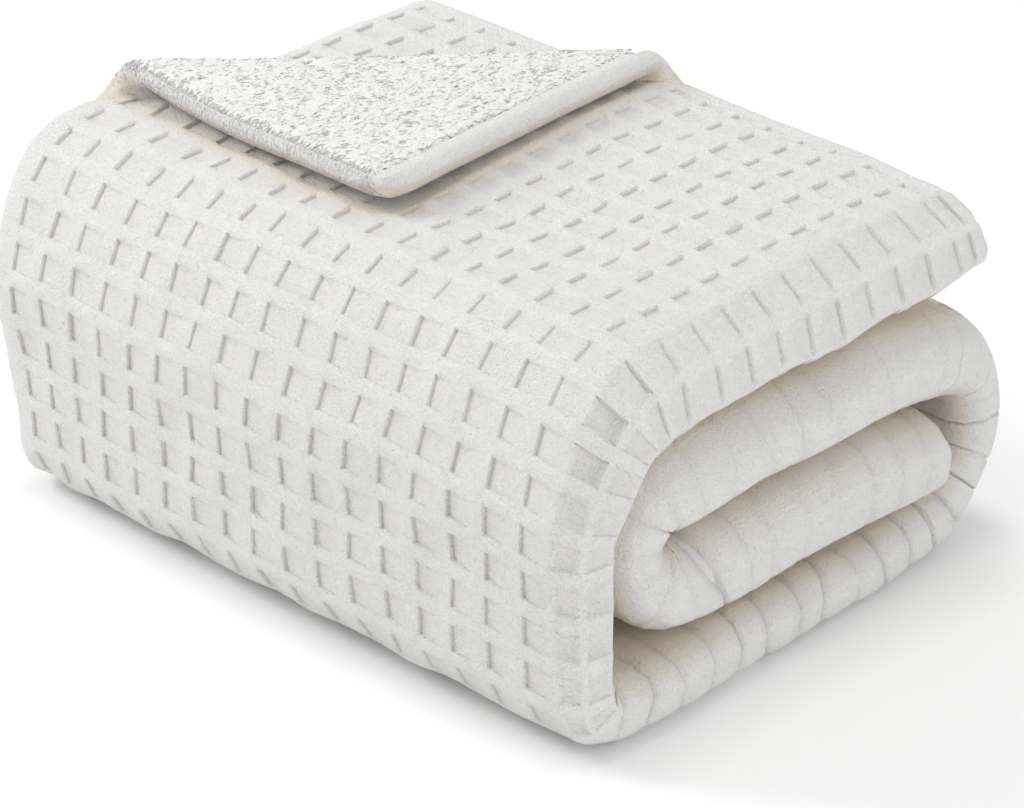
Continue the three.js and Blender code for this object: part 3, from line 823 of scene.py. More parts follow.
class Shader:
    """A material with one matt shader, and short ways to add nodes to it."""

    SPECULAR = 0.1
    MOTTLE_ROUGHNESS = 0.6
    CURL_SMOOTHNESS = 0.6

    def __init__(self, name: str) -> None:
        """Starts a material with a Principled shader.

        Args:
            name: The material's name.
        """
        self.material = bpy.data.materials.new(name)
        self.material.use_nodes = True
        self.tree = self.material.node_tree
        self.cloth = self.tree.nodes["Principled BSDF"]

    def node(self, kind: str, **values: object) -> bpy.types.Node:
        """Adds a node.

        Args:
            kind: The node's type.
            values: Settings of the node, or values of its inputs, by name with _ for a space.

        Returns:
            The node.
        """
        made = self.tree.nodes.new(kind)
        for key, value in values.items():
            socket = key.replace("_", " ").title()
            if socket in made.inputs:
                made.inputs[socket].default_value = value
            else:
                setattr(made, key, value)
        return made

    def link(self, start: bpy.types.NodeSocket, end: bpy.types.NodeSocket) -> None:
        """Links an output to an input."""
        self.tree.links.new(start, end)

    def matt(self, roughness: float, sheen: float = 0.0, sheen_roughness: float = 0.5) -> None:
        """Sets how matt the surface is.

        Args:
            roughness: How rough it is.
            sheen: How strong the sheen of its fibres is.
            sheen_roughness: How far the sheen spreads.
        """
        values = {
            "Roughness": roughness, "Sheen Weight": sheen, "Sheen Roughness": sheen_roughness,
            "Specular IOR Level": self.SPECULAR}
        for socket, value in values.items():
            self.cloth.inputs[socket].default_value = value

    def _texture(self, kind: str, **values: object) -> bpy.types.Node:
        """Adds a texture on the piece's own coordinates.

        Args:
            kind: The texture node's type.
            values: Its settings and values, as for node.

        Returns:
            The node.
        """
        place, made = self.node("ShaderNodeTexCoord"), self.node(kind, **values)
        self.link(place.outputs["Object"], made.inputs["Vector"])
        return made

    def noise(self, scale: float, detail: float, roughness: float) -> bpy.types.NodeSocket:
        """Returns a noise."""
        made = self._texture("ShaderNodeTexNoise", scale=scale, detail=detail, roughness=roughness)
        return made.outputs["Fac"]

    def curls(self, scale: float) -> bpy.types.NodeSocket:
        """Adds small rounded cells.

        Args:
            scale: How many there are to a metre.

        Returns:
            The distance from the middle of the cell.
        """
        made = self._texture(
            "ShaderNodeTexVoronoi", feature="SMOOTH_F1", scale=scale, smoothness=self.CURL_SMOOTHNESS)
        return made.outputs["Distance"]

    def mottle(self, mottle: Mottle) -> bpy.types.NodeSocket:
        """Returns how far the colours mix at each place."""
        noise = self.noise(mottle.scale, mottle.detail, self.MOTTLE_ROUGHNESS)
        return self.span(noise, mottle.low, mottle.high, mottle.most)

    def grain(self, grain: Grain) -> tuple[bpy.types.NodeSocket, float]:
        """Returns a layer of fine relief and its depth."""
        return self.noise(grain.scale, grain.detail, grain.roughness), grain.depth

    def mark(self, name: str) -> bpy.types.NodeSocket:
        """Returns a named value of the mesh."""
        return self.node("ShaderNodeAttribute", attribute_name=name).outputs["Fac"]

    def power(self, value: bpy.types.NodeSocket, exponent: float) -> bpy.types.NodeSocket:
        """Raises a value to a power.

        Args:
            value: The value, from 0 to 1.
            exponent: The power.

        Returns:
            The raised value.
        """
        made = self.node("ShaderNodeMath", operation="POWER", use_clamp=True)
        self.link(value, made.inputs[0])
        made.inputs[1].default_value = exponent
        return made.outputs["Value"]

    def tint(self, factor: bpy.types.NodeSocket, first: object, second: object) -> bpy.types.NodeSocket:
        """Mixes two colours.

        Args:
            factor: How far towards the second colour.
            first: A colour, or the output of another mix.
            second: The colour mixed in, given in the same way.

        Returns:
            The mixed colour.
        """
        made = self.node("ShaderNodeMix", data_type="RGBA")
        self.link(factor, made.inputs[0])
        for place, colour in ((6, first), (7, second)):
            if isinstance(colour, bpy.types.NodeSocket):
                self.link(colour, made.inputs[place])
            else:
                made.inputs[place].default_value = colour
        return made.outputs[2]

    def span(
            self, value: bpy.types.NodeSocket, low: float, high: float,
            top: float) -> bpy.types.NodeSocket:
        """Spreads a value over another span.

        Args:
            value: The value.
            low: Where it gives 0.
            high: Where it gives the most.
            top: The most that it gives.

        Returns:
            The spread value.
        """
        made = self.node("ShaderNodeMapRange", from_min=low, from_max=high, to_max=top)
        self.link(value, made.inputs["Value"])
        return made.outputs["Result"]

    def relief(self, layers: list[tuple[bpy.types.NodeSocket, float]]) -> None:
        """Stacks fine relief under the shader.

        Args:
            layers: Heights from 0 to 1, each with its depth in millimetres.
        """
        below = None
        for height, depth in layers:
            bump = self.node("ShaderNodeBump", strength=1.0, distance=depth * MM)
            self.link(height, bump.inputs["Height"])
            if below is not None:
                self.link(below.outputs["Normal"], bump.inputs["Normal"])
            below = bump
        self.link(below.outputs["Normal"], self.cloth.inputs["Normal"])


@dataclass(frozen=True)
class WaffleFinish:
    """Brushed waffle plush: off-white, with painted shade in its steps, grooves and creases, and
    painted warm shade in crevices and on hem edges.
    """

    ridge: Colour = (0.945, 0.939, 0.93, 1)
    shade: Colour = (0.84, 0.832, 0.818, 1)
    # Painted shade: step darkens pit walls and floors, grooves and creases; crevice is painted warm
    # shade in crevices and under the turned corner; rim is painted warm shade on the hem edges
    step: Colour = (0.67, 0.64, 0.595, 1)
    painted_crevice_shade: Colour = (0.87, 0.76, 0.60, 1)
    painted_rim_shade: Colour = (0.88, 0.83, 0.735, 1)
    patches: Mottle = Mottle(140, 3, 0.38, 0.72, 0.3)
    specks: Mottle = Mottle(1100, 2, 0.45, 0.68, 0.9)
    ragged: Mottle = Mottle(800, 2, 0.72, 0.38, 0.5)
    painted_warm_shade_power: float = 1.6
    painted_warm_shade_most: float = 0.85
    painted_shade_power: float = 2.0
    painted_rim_shade_most: float = 0.8
    roughness: float = 0.95
    sheen: float = 0.25
    sheen_roughness: float = 0.6
    tufts: Grain = Grain(560, 2, 0.5, 1.3)
    nap: Grain = Grain(1300, 3, 0.7, 1.3)

    def material(self) -> bpy.types.Material:
        """Makes the finish as a node material.

        Returns:
            The material.
        """
        shader = Shader("waffle_plush")
        colour = shader.tint(shader.mottle(self.patches), self.ridge, self.shade)
        colour = shader.tint(shader.mottle(self.specks), colour, self.shade)
        # Painted warm shade in crevices, inside the roll and under the turned corner
        painted_warm_shade = shader.span(shader.power(shader.mark("painted_warm_shade"), self.painted_warm_shade_power), 0, 1, self.painted_warm_shade_most)
        colour = shader.tint(painted_warm_shade, colour, self.painted_crevice_shade)
        # Painted shade in pit walls and floors, grooves and creases, from the step mark, with ragged
        # edges
        wall = shader.tint(shader.mottle(self.ragged), self.step, self.shade)
        colour = shader.tint(shader.power(shader.mark("step"), self.painted_shade_power), colour, wall)
        # Painted warm shade along the rolled hem edges
        colour = shader.tint(shader.span(shader.mark("painted_rim_shade"), 0, 1, self.painted_rim_shade_most), colour, self.painted_rim_shade)
        shader.link(colour, shader.cloth.inputs["Base Color"])
        shader.matt(self.roughness, self.sheen, self.sheen_roughness)
        shader.relief([shader.grain(self.tufts), shader.grain(self.nap)])
        return shader.material


@dataclass(frozen=True)
class FleeceFinish:
    """Curly fleece pile: bright tips over slightly warmer roots."""

    tip: Colour = (0.80, 0.796, 0.787, 1)
    root: Colour = (0.785, 0.777, 0.762, 1)
    roots: Mottle = Mottle(260, 3, 0.55, 0.32, 0.55)
    roughness: float = 0.97
    sheen: float = 0.35
    sheen_roughness: float = 0.5
    curl_scale: float = 420.0
    curl_depth: float = 0.5
    strands: Grain = Grain(1300, 3, 0.7, 0.5)

    def material(self) -> bpy.types.Material:
        """Makes the finish as a node material.

        Returns:
            The material.
        """
        shader = Shader("curly_fleece")
        colour = shader.tint(shader.mottle(self.roots), self.tip, self.root)
        shader.link(colour, shader.cloth.inputs["Base Color"])
        shader.matt(self.roughness, self.sheen, self.sheen_roughness)
        shader.relief([(shader.curls(self.curl_scale), -self.curl_depth), shader.grain(self.strands)])
        return shader.material


@dataclass(frozen=True)
class FloorFinish:
    """A matt white floor."""

    colour: Colour = (0.93, 0.93, 0.93, 1)
    roughness: float = 0.9
    glow: float = 0.02

    def material(self) -> bpy.types.Material:
        """Makes the finish as a node material.

        Returns:
            The material.
        """
        shader = Shader("studio_floor")
        shader.matt(self.roughness)
        for socket in ("Base Color", "Emission Color"):
            shader.cloth.inputs[socket].default_value = self.colour
        shader.cloth.inputs["Emission Strength"].default_value = self.glow
        return shader.material


class RowWork:
    """Profiles of the waffle along the strip, with a value for each row of points.

    One crease, in the pitch at the low side of the curl, is pinched to a slit.
    """

    SLIT = 55

    def __init__(self, rows: list[Row], seed: int) -> None:
        """Draws the profiles over the pitches of the rows.

        Args:
            rows: The lines of points along the sheet.
            seed: What the unevenness of grooves is drawn from.
        """
        waffle = (Weave.DASHES, Weave.PITS, Weave.WALL)
        self.rows = rows
        self.number = np.array([max(int(row.cell), 0) for row in rows])
        self.ridge = np.array([row.weave in waffle and row.cell % 1 == 0 for row in rows], float)
        self.foot = self._profile(Weave.DASHES, (1, 2, 3, 4, 5), (0, 0.25, 1, 1, 0))
        for weave in waffle[1:]:
            self.foot += self._profile(weave, (1, 2, 4, 5), (0, 1, 1, 0))
        self.square = self._profile(Weave.PITS, (1, 2, 4, 5), (0, 1, 1, 0))
        self.square += self._profile(Weave.DASHES, (1, 2, 4, 5), (0, 0.4, 0.4, 0))
        self.fold_pit = self._profile(Weave.DASHES, (1, 2, 4), (0, 1, 0))
        # Where the painted shade line lies in each pitch round the fold
        self.fold_painted_shade = self._profile(Weave.DASHES, (1, 2, 3), (0, 1, 0))
        uneven = np.random.default_rng(seed).uniform(0, 1, DRAWN_ROWS)[self.number]
        self.puff = self._profile(Weave.RIBS, (0, 1, 2, 3, 4), (0.8, 1, 0.4, 0, 0.4))
        self.groove = self._profile(Weave.RIBS, (2, 3, 4), (0, 1, 0)) * lerp(0.65, 1.1, uneven)
        crease = self._profile(Weave.CREASES, (1, 2, 3), (0, 1, 0))
        crease += self._profile(Weave.WALL, (3, 4, 5), (0, 1, 0))
        self.crease = crease * lerp(0.3, 1, uneven)
        slit = self._profile(Weave.CREASES, (0, 1, 2, 3), (0.15, 0.75, 1, 0.45))
        self.slit = slit * (self.number == self.SLIT)

    def _profile(self, weave: Weave, picks: tuple[int, ...], heights: tuple[float, ...]) -> Array:
        """Draws a profile over the pitches that are worked in one way.

        Args:
            weave: The way of working.
            picks: Which of its rows the profile is given at.
            heights: The profile there.

        Returns:
            The profile at each row.
        """
        places = [weave.value[pick] for pick in picks]
        along = np.interp([row.cell % 1 for row in self.rows], places, heights)
        return along * np.array([row.weave is weave for row in self.rows])


@dataclass
class WaffleFace:
    """The face panel: a waffle plush sheet whose edges are rolled over as a hem."""

    strip: FoldedStrip
    columns: tuple[float, ...] = (0, 0.18, 0.215, 0.29, 0.80)
    fold_columns: tuple[float, ...] = (0, 0.10, 0.20, 0.80, 0.92)
    last_cells: tuple[float, ...] = (19.0, 19.4, 19.785)
    bend_cells: tuple[float, ...] = (COLUMNS + 0.7, 17.5, 18.5, 19.2, 19.8)
    bend_angles: tuple[float, ...] = (90, 56, 8, -38, -90)
    bottom_parts: tuple[float, ...] = (0.1, 0.5, 0.93)
    left_angles: tuple[float, ...] = (-90, -54, -18, 18, 54, 90)
    bare_columns: int = 7
    hidden_x: float = 62.0
    pit_floor: tuple[float, ...] = (0, 1, 0.87, 0)
    # How the painted shade falls across a pit's left wall
    pit_wall_painted_shade: tuple[float, ...] = (0, 1, 0.4)
    pit_depth: float = 1.6
    fold_depth: float = 1.5
    square_depth: float = 1.4
    deep_column: int = COLUMNS + 1
    deep_rows: tuple[int, ...] = (11, 12, 13)
    deep_depth: float = 2.0
    depth_spread: float = 0.12
    ridge_crown: float = 0.4
    rib_height: float = 0.6
    rib_groove: float = 2.3
    rib_sway: float = 2.2
    fold_bow: float = 2.4
    crease_groove: float = 2.4
    slit_groove: float = 6.0
    slit_angles: tuple[float, float] = (-5, 50)
    slit_slant: float = 21.0
    slit_middle: float = 0.25
    slit_reach: float = 30.0
    shoulder_rise: float = 0.6
    # How strong the painted shade is over pit floors, square pits, deep pits, grooves and creases
    floor_painted_shade: float = 0.24
    square_painted_shade: float = 0.48
    deep_painted_shade: float = 0.4
    groove_painted_shade: float = 0.95
    crease_painted_shade: float = 0.55
    # How far the painted warm shade on the hem edges reaches in from the edge
    painted_rim_shade_reach: float = 2.2
    # How far the painted warm shade reaches from the turned corner's edges, and over which fold angles
    # it lies
    under_reach: float = 9.0
    painted_warm_shade_below: tuple[float, float] = (15, 80)
    painted_warm_shade_above: tuple[float, float] = (30, 85)
    sway: float = 0.9
    sway_over: float = 90.0
    sway_from: tuple[float, float] = (10, 60)
    sway_to: tuple[float, float] = (330, 400)
    sway_rows: tuple[float, float] = (70, 120)
    rib_sway_over: float = 50.0
    unevenness: float = 0.55
    uneven_over: float = 45.0
    flat_size: tuple[float, float] = (1.270, 1.524)
    end_steps: tuple[float, ...] = (0, 0.7, 2.2, 4.6, 8.0, BACK_HEM - SEAM, BACK_HEM)
    side_steps: tuple[float, ...] = (0, 0.7, 2.2, SIDE_HEM, SIDE_HEM + SEAM, 5.5, 9.5)
    inner_steps: tuple[float, ...] = (9.5, SIDE_HEM + SEAM, SIDE_HEM, 0.7, 0)
    seed: int = 41

    def stations(self) -> list[Station]:
        """Lists the lines of points across the sheet.

        Returns:
            The lines, in order.
        """
        lines = [Station(Ply.TOP, FREE_EDGE_X + step, hem=step) for step in self.side_steps]
        lines += self._columns(Ply.TOP, LAST_RIDGE_X - PITCH * COLUMNS, COLUMNS, self.columns)
        lines += [self._fold_station(COLUMNS + part) for part in self.columns]
        lines += [self._fold_station(COLUMNS + k + part) for k in (1, 2) for part in self.fold_columns]
        lines += [self._fold_station(cell) for cell in self.last_cells]
        lines += [Station(Ply.BOTTOM, part) for part in self.bottom_parts]
        lines += [Station(Ply.LEFT_FOLD, angle) for angle in self.left_angles]
        lines += self._columns(Ply.MIDDLE, LEFT_FOLD_X, self.bare_columns, self.columns[1:])
        covered = LEFT_FOLD_X + PITCH * self.bare_columns
        lines += [Station(Ply.MIDDLE, x) for x in (covered, self.hidden_x)]
        lines += [Station(Ply.MIDDLE, MIDDLE_PLY_EDGE_X - step, hem=step) for step in self.inner_steps]
        return lines

    @staticmethod
    def _columns(ply: Ply, first: float, count: int, parts: tuple[float, ...]) -> list[Station]:
        """Returns the lines of some columns of the waffle, the first of which starts at first."""
        cells = [k + part for k in range(count) for part in parts]
        return [Station(ply, first + PITCH * cell, cell) for cell in cells]

    def _fold_station(self, cell: float) -> Station:
        """Makes a line past the last ridge, on the shoulder or round the right fold.

        Args:
            cell: The line's place in the waffle's columns.

        Returns:
            The line.
        """
        bend = self.bend_cells[0]
        if cell < bend:
            return Station(Ply.SHOULDER, (cell - COLUMNS) / (bend - COLUMNS), cell)
        return Station(Ply.RIGHT_FOLD, float(np.interp(cell, self.bend_cells, self.bend_angles)), cell)

    def rows(self) -> list[Row]:
        """Lists the lines of points along the sheet.

        Returns:
            The lines, in order.
        """
        roll = self.strip.roll
        lines = [Row(step, 0.0, step) for step in self.end_steps]
        for k in range(FAN_ROWS):
            for part in Weave.DASHES.value[1:] if k == 0 else Weave.DASHES.value:
                offset = BACK_HEM * (1 - part) if k == 0 else 0.0
                lines.append(Row(offset, (k + part) / FAN_ROWS, cell=k + part, weave=Weave.DASHES))
        last = int((roll.end - BACK_HEM - roll.front_ridge) / PITCH)
        for k in range(last):
            start = roll.front_ridge + k * PITCH
            weave = self._weave(start + PITCH / 2)
            for part in weave.value:
                lines.append(Row(start + part * PITCH, cell=FAN_ROWS + k + part, weave=weave))
        lines += [Row(roll.end - step, hem=step) for step in reversed(self.end_steps)]
        return lines

    def _weave(self, length: float) -> Weave:
        """Finds how the face is worked at a length along the strip.

        Args:
            length: The length.

        Returns:
            The way of working.
        """
        ways = (
            ("shoulder", Weave.DASHES), ("heel", Weave.PITS), ("wall foot", Weave.RIBS),
            ("inner back", Weave.WALL), ("core end", Weave.CREASES))
        return next(weave for mark, weave in ways if length <= self.strip.roll.length_at_mark(mark))

    def build(self) -> bpy.types.Object:
        """Returns:
            The sheet.
        """
        stations, rows = self.stations(), self.rows()
        shape = len(stations), len(rows)
        outer, inner, flat = np.zeros((*shape, 3)), np.zeros((*shape, 3)), np.zeros((*shape, 2))
        step, painted_rim_shade, painted_warm_shade = np.zeros(shape), np.zeros(shape), np.zeros(shape)
        row_hem = np.array([row.hem for row in rows])
        work = RowWork(rows, self.seed + 5)
        for i, station in enumerate(stations):
            lengths = self.strip.lengths(station, rows)
            flat[i] = np.stack([np.full(shape[1], station.flat()), lengths], axis=-1)
            outer[i], inner[i], step[i] = self._line(station, work, lengths, flat[i])
            # Painted warm shade near the hemmed edges
            painted_rim_shade[i] = np.exp(-(np.minimum(row_hem, station.hem) / self.painted_rim_shade_reach) ** 2)
            # Painted warm shade in crevices, inside the roll and under the turned corner
            painted_warm_shade[i] = self._painted_warm_shade(station, lengths, outer[i])
        # The step mark holds the painted shade in pit walls and floors, grooves and creases
        marks = {"step": step, "painted_rim_shade": painted_rim_shade, "painted_warm_shade": painted_warm_shade}
        piece = sheet_object("waffle_face_cloth", outer, inner, flat, marks)
        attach(piece, "root")
        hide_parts("waffle_face")
        return piece

    def _line(
            self, station: Station, work: RowWork, lengths: Array,
            flat: Array) -> tuple[Array, Array, Array]:
        """Places one line of both sides.

        Args:
            station: The line's place across the sheet.
            work: The waffle's profiles along the strip.
            lengths: The rows' lengths along the strip.
            flat: The line's places in the flat cloth.

        Returns:
            Points of the outer side, points of the inner side, and how much painted shade each gets in
            steps.
        """
        row_hem = np.array([row.hem for row in work.rows])
        hem = np.minimum(row_hem, station.hem)
        in_hem = (row_hem < BACK_HEM) | (station.hem <= SIDE_HEM)
        half = self.strip.roll.gauge(lengths).half
        cloth = smoothstep(hem, HEM_ROLL, 2 * HEM_ROLL)
        step, height = self._waffle(station, work)
        uneven = self.unevenness * Ripple(self.seed + 3, self.uneven_over).at(*flat.T)
        relief = (height + uneven) * cloth
        outer_w = hem_roll(hem) + relief / half
        inner_w = np.where(in_hem, -hem_roll(hem), FACE_INSIDE)
        sway = self._sway(station, flat)
        outer = self.strip.points(station, lengths, outer_w, sway)
        return outer, self.strip.points(station, lengths, inner_w, sway), step * cloth

    def _waffle(self, station: Station, work: RowWork) -> tuple[Array, Array]:
        """Works the waffle along one line.

        A pit is deepest at its left wall and its floor rises from there. Round the folded edge it is
        deepest at its back wall.

        Args:
            station: The line's place across the sheet.
            work: The waffle's profiles along the strip.

        Returns:
            How much painted shade each point gets in steps, grooves and creases, from 0 to 1, and its
            height in millimetres.
        """
        if station.cell < 0:
            return np.zeros(len(work.rows)), np.zeros(len(work.rows))
        column, across = int(station.cell), station.cell % 1
        draw = np.random.default_rng(self.seed).normal(size=(DRAWN_COLUMNS, DRAWN_ROWS))
        spread = 1 + self.depth_spread * draw[column, work.number]
        pinch = work.slit * (1 - smoothstep(station.at, *self.slit_angles))
        ribs = work.puff * self.rib_height - work.groove * self.rib_groove
        ribs = ribs - work.crease * self.crease_groove - pinch * self.slit_groove
        # Painted shade in the ribs' grooves, the creases and the slit
        painted_dark = np.maximum(self.groove_painted_shade * work.groove + self.crease_painted_shade * work.crease, pinch)
        if column <= COLUMNS:
            floor = np.interp(across, self.columns[1:], self.pit_floor) * work.foot
            # Painted shade on each pit's left wall, fainter over its floor
            step = np.interp(across, self.columns[1:4], self.pit_wall_painted_shade) * work.foot
            step = np.maximum(step, self.floor_painted_shade * floor)
            crown = self.ridge_crown * np.maximum(work.ridge, (across == 0) * (work.foot > 0))
            share = smoothstep(across, 0, self.shoulder_rise) if station.ply is Ply.SHOULDER else 0.0
            height = crown - floor * self.pit_depth * spread + share * ribs
            return np.maximum(step, share * painted_dark), height
        girth = np.interp(across, self.fold_columns[1:], (0, 1, 1, 0))
        deep = girth * work.square * np.isin(work.number, self.deep_rows) * (column == self.deep_column)
        pits = work.fold_pit * self.fold_depth + work.square * self.square_depth
        height = ribs - girth * pits * spread - deep * self.deep_depth
        # Painted shade on the fold's lines and square pits, darker in the deep pits
        step = girth * np.maximum(work.fold_painted_shade, self.square_painted_shade * work.square) + painted_dark
        return np.maximum(step, self.deep_painted_shade * deep), height

    def _painted_warm_shade(self, station: Station, lengths: Array, points: Array) -> Array:
        """Finds the painted warm shade in crevices, inside the roll and near the turned corner's edges.

        Args:
            station: The line's place across the sheet.
            lengths: Lengths along the strip.
            points: The line's points.

        Returns:
            The painted warm shade at each point, from 0 to 1.
        """
        if station.ply is Ply.TOP:
            gap = points[:, None, :2] - self.strip.turned_edge()[None, :, :2]
            nearest = np.linalg.norm(gap, axis=-1).min(axis=1)
            return np.exp(-(nearest / self.under_reach) ** 2)
        inside = (lengths > self.strip.roll.length_at_mark("inner back")).astype(float)
        if station.ply is Ply.RIGHT_FOLD:
            above = smoothstep(station.at, *self.painted_warm_shade_above) * inside
            return np.maximum(smoothstep(-station.at, *self.painted_warm_shade_below), above)
        if station.ply is Ply.SHOULDER:
            return inside
        return np.full(len(lengths), float(station.ply is Ply.BOTTOM))

    def _passed(self, lengths: Array, first: str, last: str) -> Array:
        """Returns how far lengths have come from one mark to another, from 0 to 1."""
        return smoothstep(lengths, *(self.strip.roll.length_at_mark(name) for name in (first, last)))

    def _sway(self, station: Station, flat: Array) -> tuple[Array, Array]:
        """Finds small shifts of the waffle.

        Args:
            station: The line's place across the sheet.
            flat: The line's places in the flat cloth.

        Returns:
            The shifts across the strip and along it.
        """
        still = np.zeros(len(flat))
        if station.ply is Ply.RIGHT_FOLD:
            return still, self._fold_sway(station, flat)
        if station.ply is not Ply.TOP:
            return still, still
        inside = smoothstep(flat[:, 0], *self.sway_from) * (1 - smoothstep(flat[:, 0], *self.sway_to))
        inside = inside * smoothstep(flat[:, 1], *self.sway_rows)
        across, along = (Ripple(self.seed + k, self.sway_over).at(*flat.T) for k in (1, 2))
        return self.sway * inside * across, self.sway * inside * along

    def _fold_sway(self, station: Station, flat: Array) -> Array:
        """Finds shifts along the strip round the right fold.

        The ribs wander, the fold lines on top are bowed, and the slit lies slanted.

        Args:
            station: The line's place across the sheet.
            flat: The line's places in the flat cloth.

        Returns:
            The shifts.
        """
        lengths = flat[:, 1]
        ribbed = self._passed(lengths, "heel", "base front")
        along = self.rib_sway * ribbed * Ripple(self.seed + 4, self.rib_sway_over).at(*flat.T)
        bowed = 1 - self._passed(lengths, "top front", "shoulder")
        along -= self.fold_bow * bowed * math.sin(math.pi * (station.cell % 1))
        near = np.exp(-((lengths - self.strip.roll.length_at_mark("curl low")) / self.slit_reach) ** 2)
        return along + self.slit_slant * near * (math.sin(math.radians(station.at)) + self.slit_middle)

    @staticmethod
    def dress(piece: bpy.types.Object, finish: WaffleFinish) -> None:
        """Gives the sheet its finish."""
        piece.data.materials.append(finish.material())


@dataclass
class FleeceBack:
    """The back panel: a curly fleece sheet that shows on the turned corner."""

    strip: FoldedStrip
    fine_step: float = 1.9
    fine_to_x: float = 46.0
    top_x: tuple[float, ...] = (60, 90, 120, 150, 180)
    right_angles: tuple[float, ...] = (90, 60, 30, 0, -30, -60, -90)
    bottom_parts: tuple[float, ...] = (0.1, 0.4, 0.7, 0.93)
    left_angles: tuple[float, ...] = (-90, -45, 0, 45, 90)
    middle_x: tuple[float, ...] = (-160, -80, 0, 80, 140)
    edge_steps: tuple[float, ...] = (5, 2, 0)
    clearance: float = 0.5
    edge_roll: float = 5.0
    edge_drop: float = 2.0
    heap: float = 2.4
    heap_spacing: float = 13.0
    curl: float = 1.2
    curl_spacing: float = 6.0
    usual_height: float = 0.6
    pile_from: tuple[float, float] = (-10, 5)
    flat_size: tuple[float, float] = (1.251, 1.505)
    seed: int = 73

    def stations(self) -> list[Station]:
        """Lists the lines of points across the sheet.

        Returns:
            The lines, in order.
        """
        start = FREE_EDGE_X + SIDE_HEM + self.clearance
        steps = int((self.fine_to_x - start) / self.fine_step)
        fine = [self.fine_step * k for k in range(steps)]
        lines = [Station(Ply.TOP, start + step, hem=step) for step in fine]
        plain = {
            Ply.TOP: self.top_x, Ply.RIGHT_FOLD: self.right_angles, Ply.BOTTOM: self.bottom_parts,
            Ply.LEFT_FOLD: self.left_angles, Ply.MIDDLE: self.middle_x}
        lines += [Station(ply, place) for ply, places in plain.items() for place in places]
        end = MIDDLE_PLY_EDGE_X - SIDE_HEM - self.clearance
        lines += [Station(Ply.MIDDLE, end - step, hem=step) for step in self.edge_steps]
        return lines

    def rows(self) -> list[Row]:
        """Lists the lines of points along the sheet.

        Returns:
            The lines, in order.
        """
        roll = self.strip.roll
        start = BACK_HEM + self.clearance
        fine = int((roll.front_ridge - float(roll.length_at_top(TOP_EDGE_Y))) / self.fine_step)
        lines = [Row(start * (1 - k / fine), k / fine, self.fine_step * k) for k in range(fine + 1)]
        last = int((roll.end - start - roll.front_ridge) / PITCH)
        lines += [Row(roll.front_ridge + PITCH * k) for k in range(1, last)]
        lines += [Row(roll.end - start - step, hem=step) for step in self.edge_steps]
        return lines

    def build(self) -> bpy.types.Object:
        """Builds the sheet.

        Returns:
            The sheet.
        """
        stations, rows = self.stations(), self.rows()
        shape = len(stations), len(rows)
        outer, inner, flat = np.zeros((*shape, 3)), np.zeros((*shape, 3)), np.zeros((*shape, 2))
        none = np.zeros(shape[1])
        row_hem = np.array([row.hem for row in rows])
        for i, station in enumerate(stations):
            lengths = self.strip.lengths(station, rows)
            flat[i] = np.stack([none + station.flat(), lengths], axis=-1)
            half = self.strip.roll.gauge(lengths).half
            edge = np.minimum(row_hem, station.hem)
            pile = self.pile(none + station.at, lengths, edge) if station.ply is Ply.TOP else none
            outer[i] = self.strip.points(station, lengths, none + FACE_INSIDE - FACE_GAP, (none, none))
            inner[i] = self.strip.points(station, lengths, -PLY_HALF - pile / half, (none, none))
        return sheet_object("fleece_back_cloth", outer, inner, flat, {})

    def declare(self, piece: bpy.types.Object, pile: bpy.types.Object) -> None:
        """Hangs the sheet and the pile on it from the root body, and hides the imported fleece part.

        Args:
            piece: The sheet.
            pile: Its loose locks.
        """
        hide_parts("fleece_back")
        for part in (piece, pile):
            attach(part, "root")

    def pile(self, x: Array, lengths: Array, edge: Array) -> Array:
        """Finds how far the pile stands out from the back of the top ply.

        Args:
            x: Places across the strip.
            lengths: Lengths along it.
            edge: Distances from the nearer edge of the fleece.

        Returns:
            The heights, in millimetres.
        """
        heaps = Curls(self.seed, self.heap_spacing).at(x - FREE_EDGE_X, lengths)
        curls = Curls(self.seed + 1, self.curl_spacing).at(x - FREE_EDGE_X, lengths)
        height = self.heap * (heaps - self.usual_height) + self.curl * (curls - self.usual_height)
        _, out = self.strip.turn.split(x, lengths)
        rolled = np.clip(1 - edge / self.edge_roll, 0, 1)
        return smoothstep(out, *self.pile_from) * (height * (1 - rolled) - self.edge_drop * rolled ** 2)

    @staticmethod
    def dress(pieces: tuple[bpy.types.Object, ...], finish: FleeceFinish) -> None:
        """Gives the sheet and its pile their finish.

        Args:
            pieces: The sheet and its pile.
            finish: The finish.
        """
        material = finish.material()
        for piece in pieces:
            piece.data.materials.append(material)


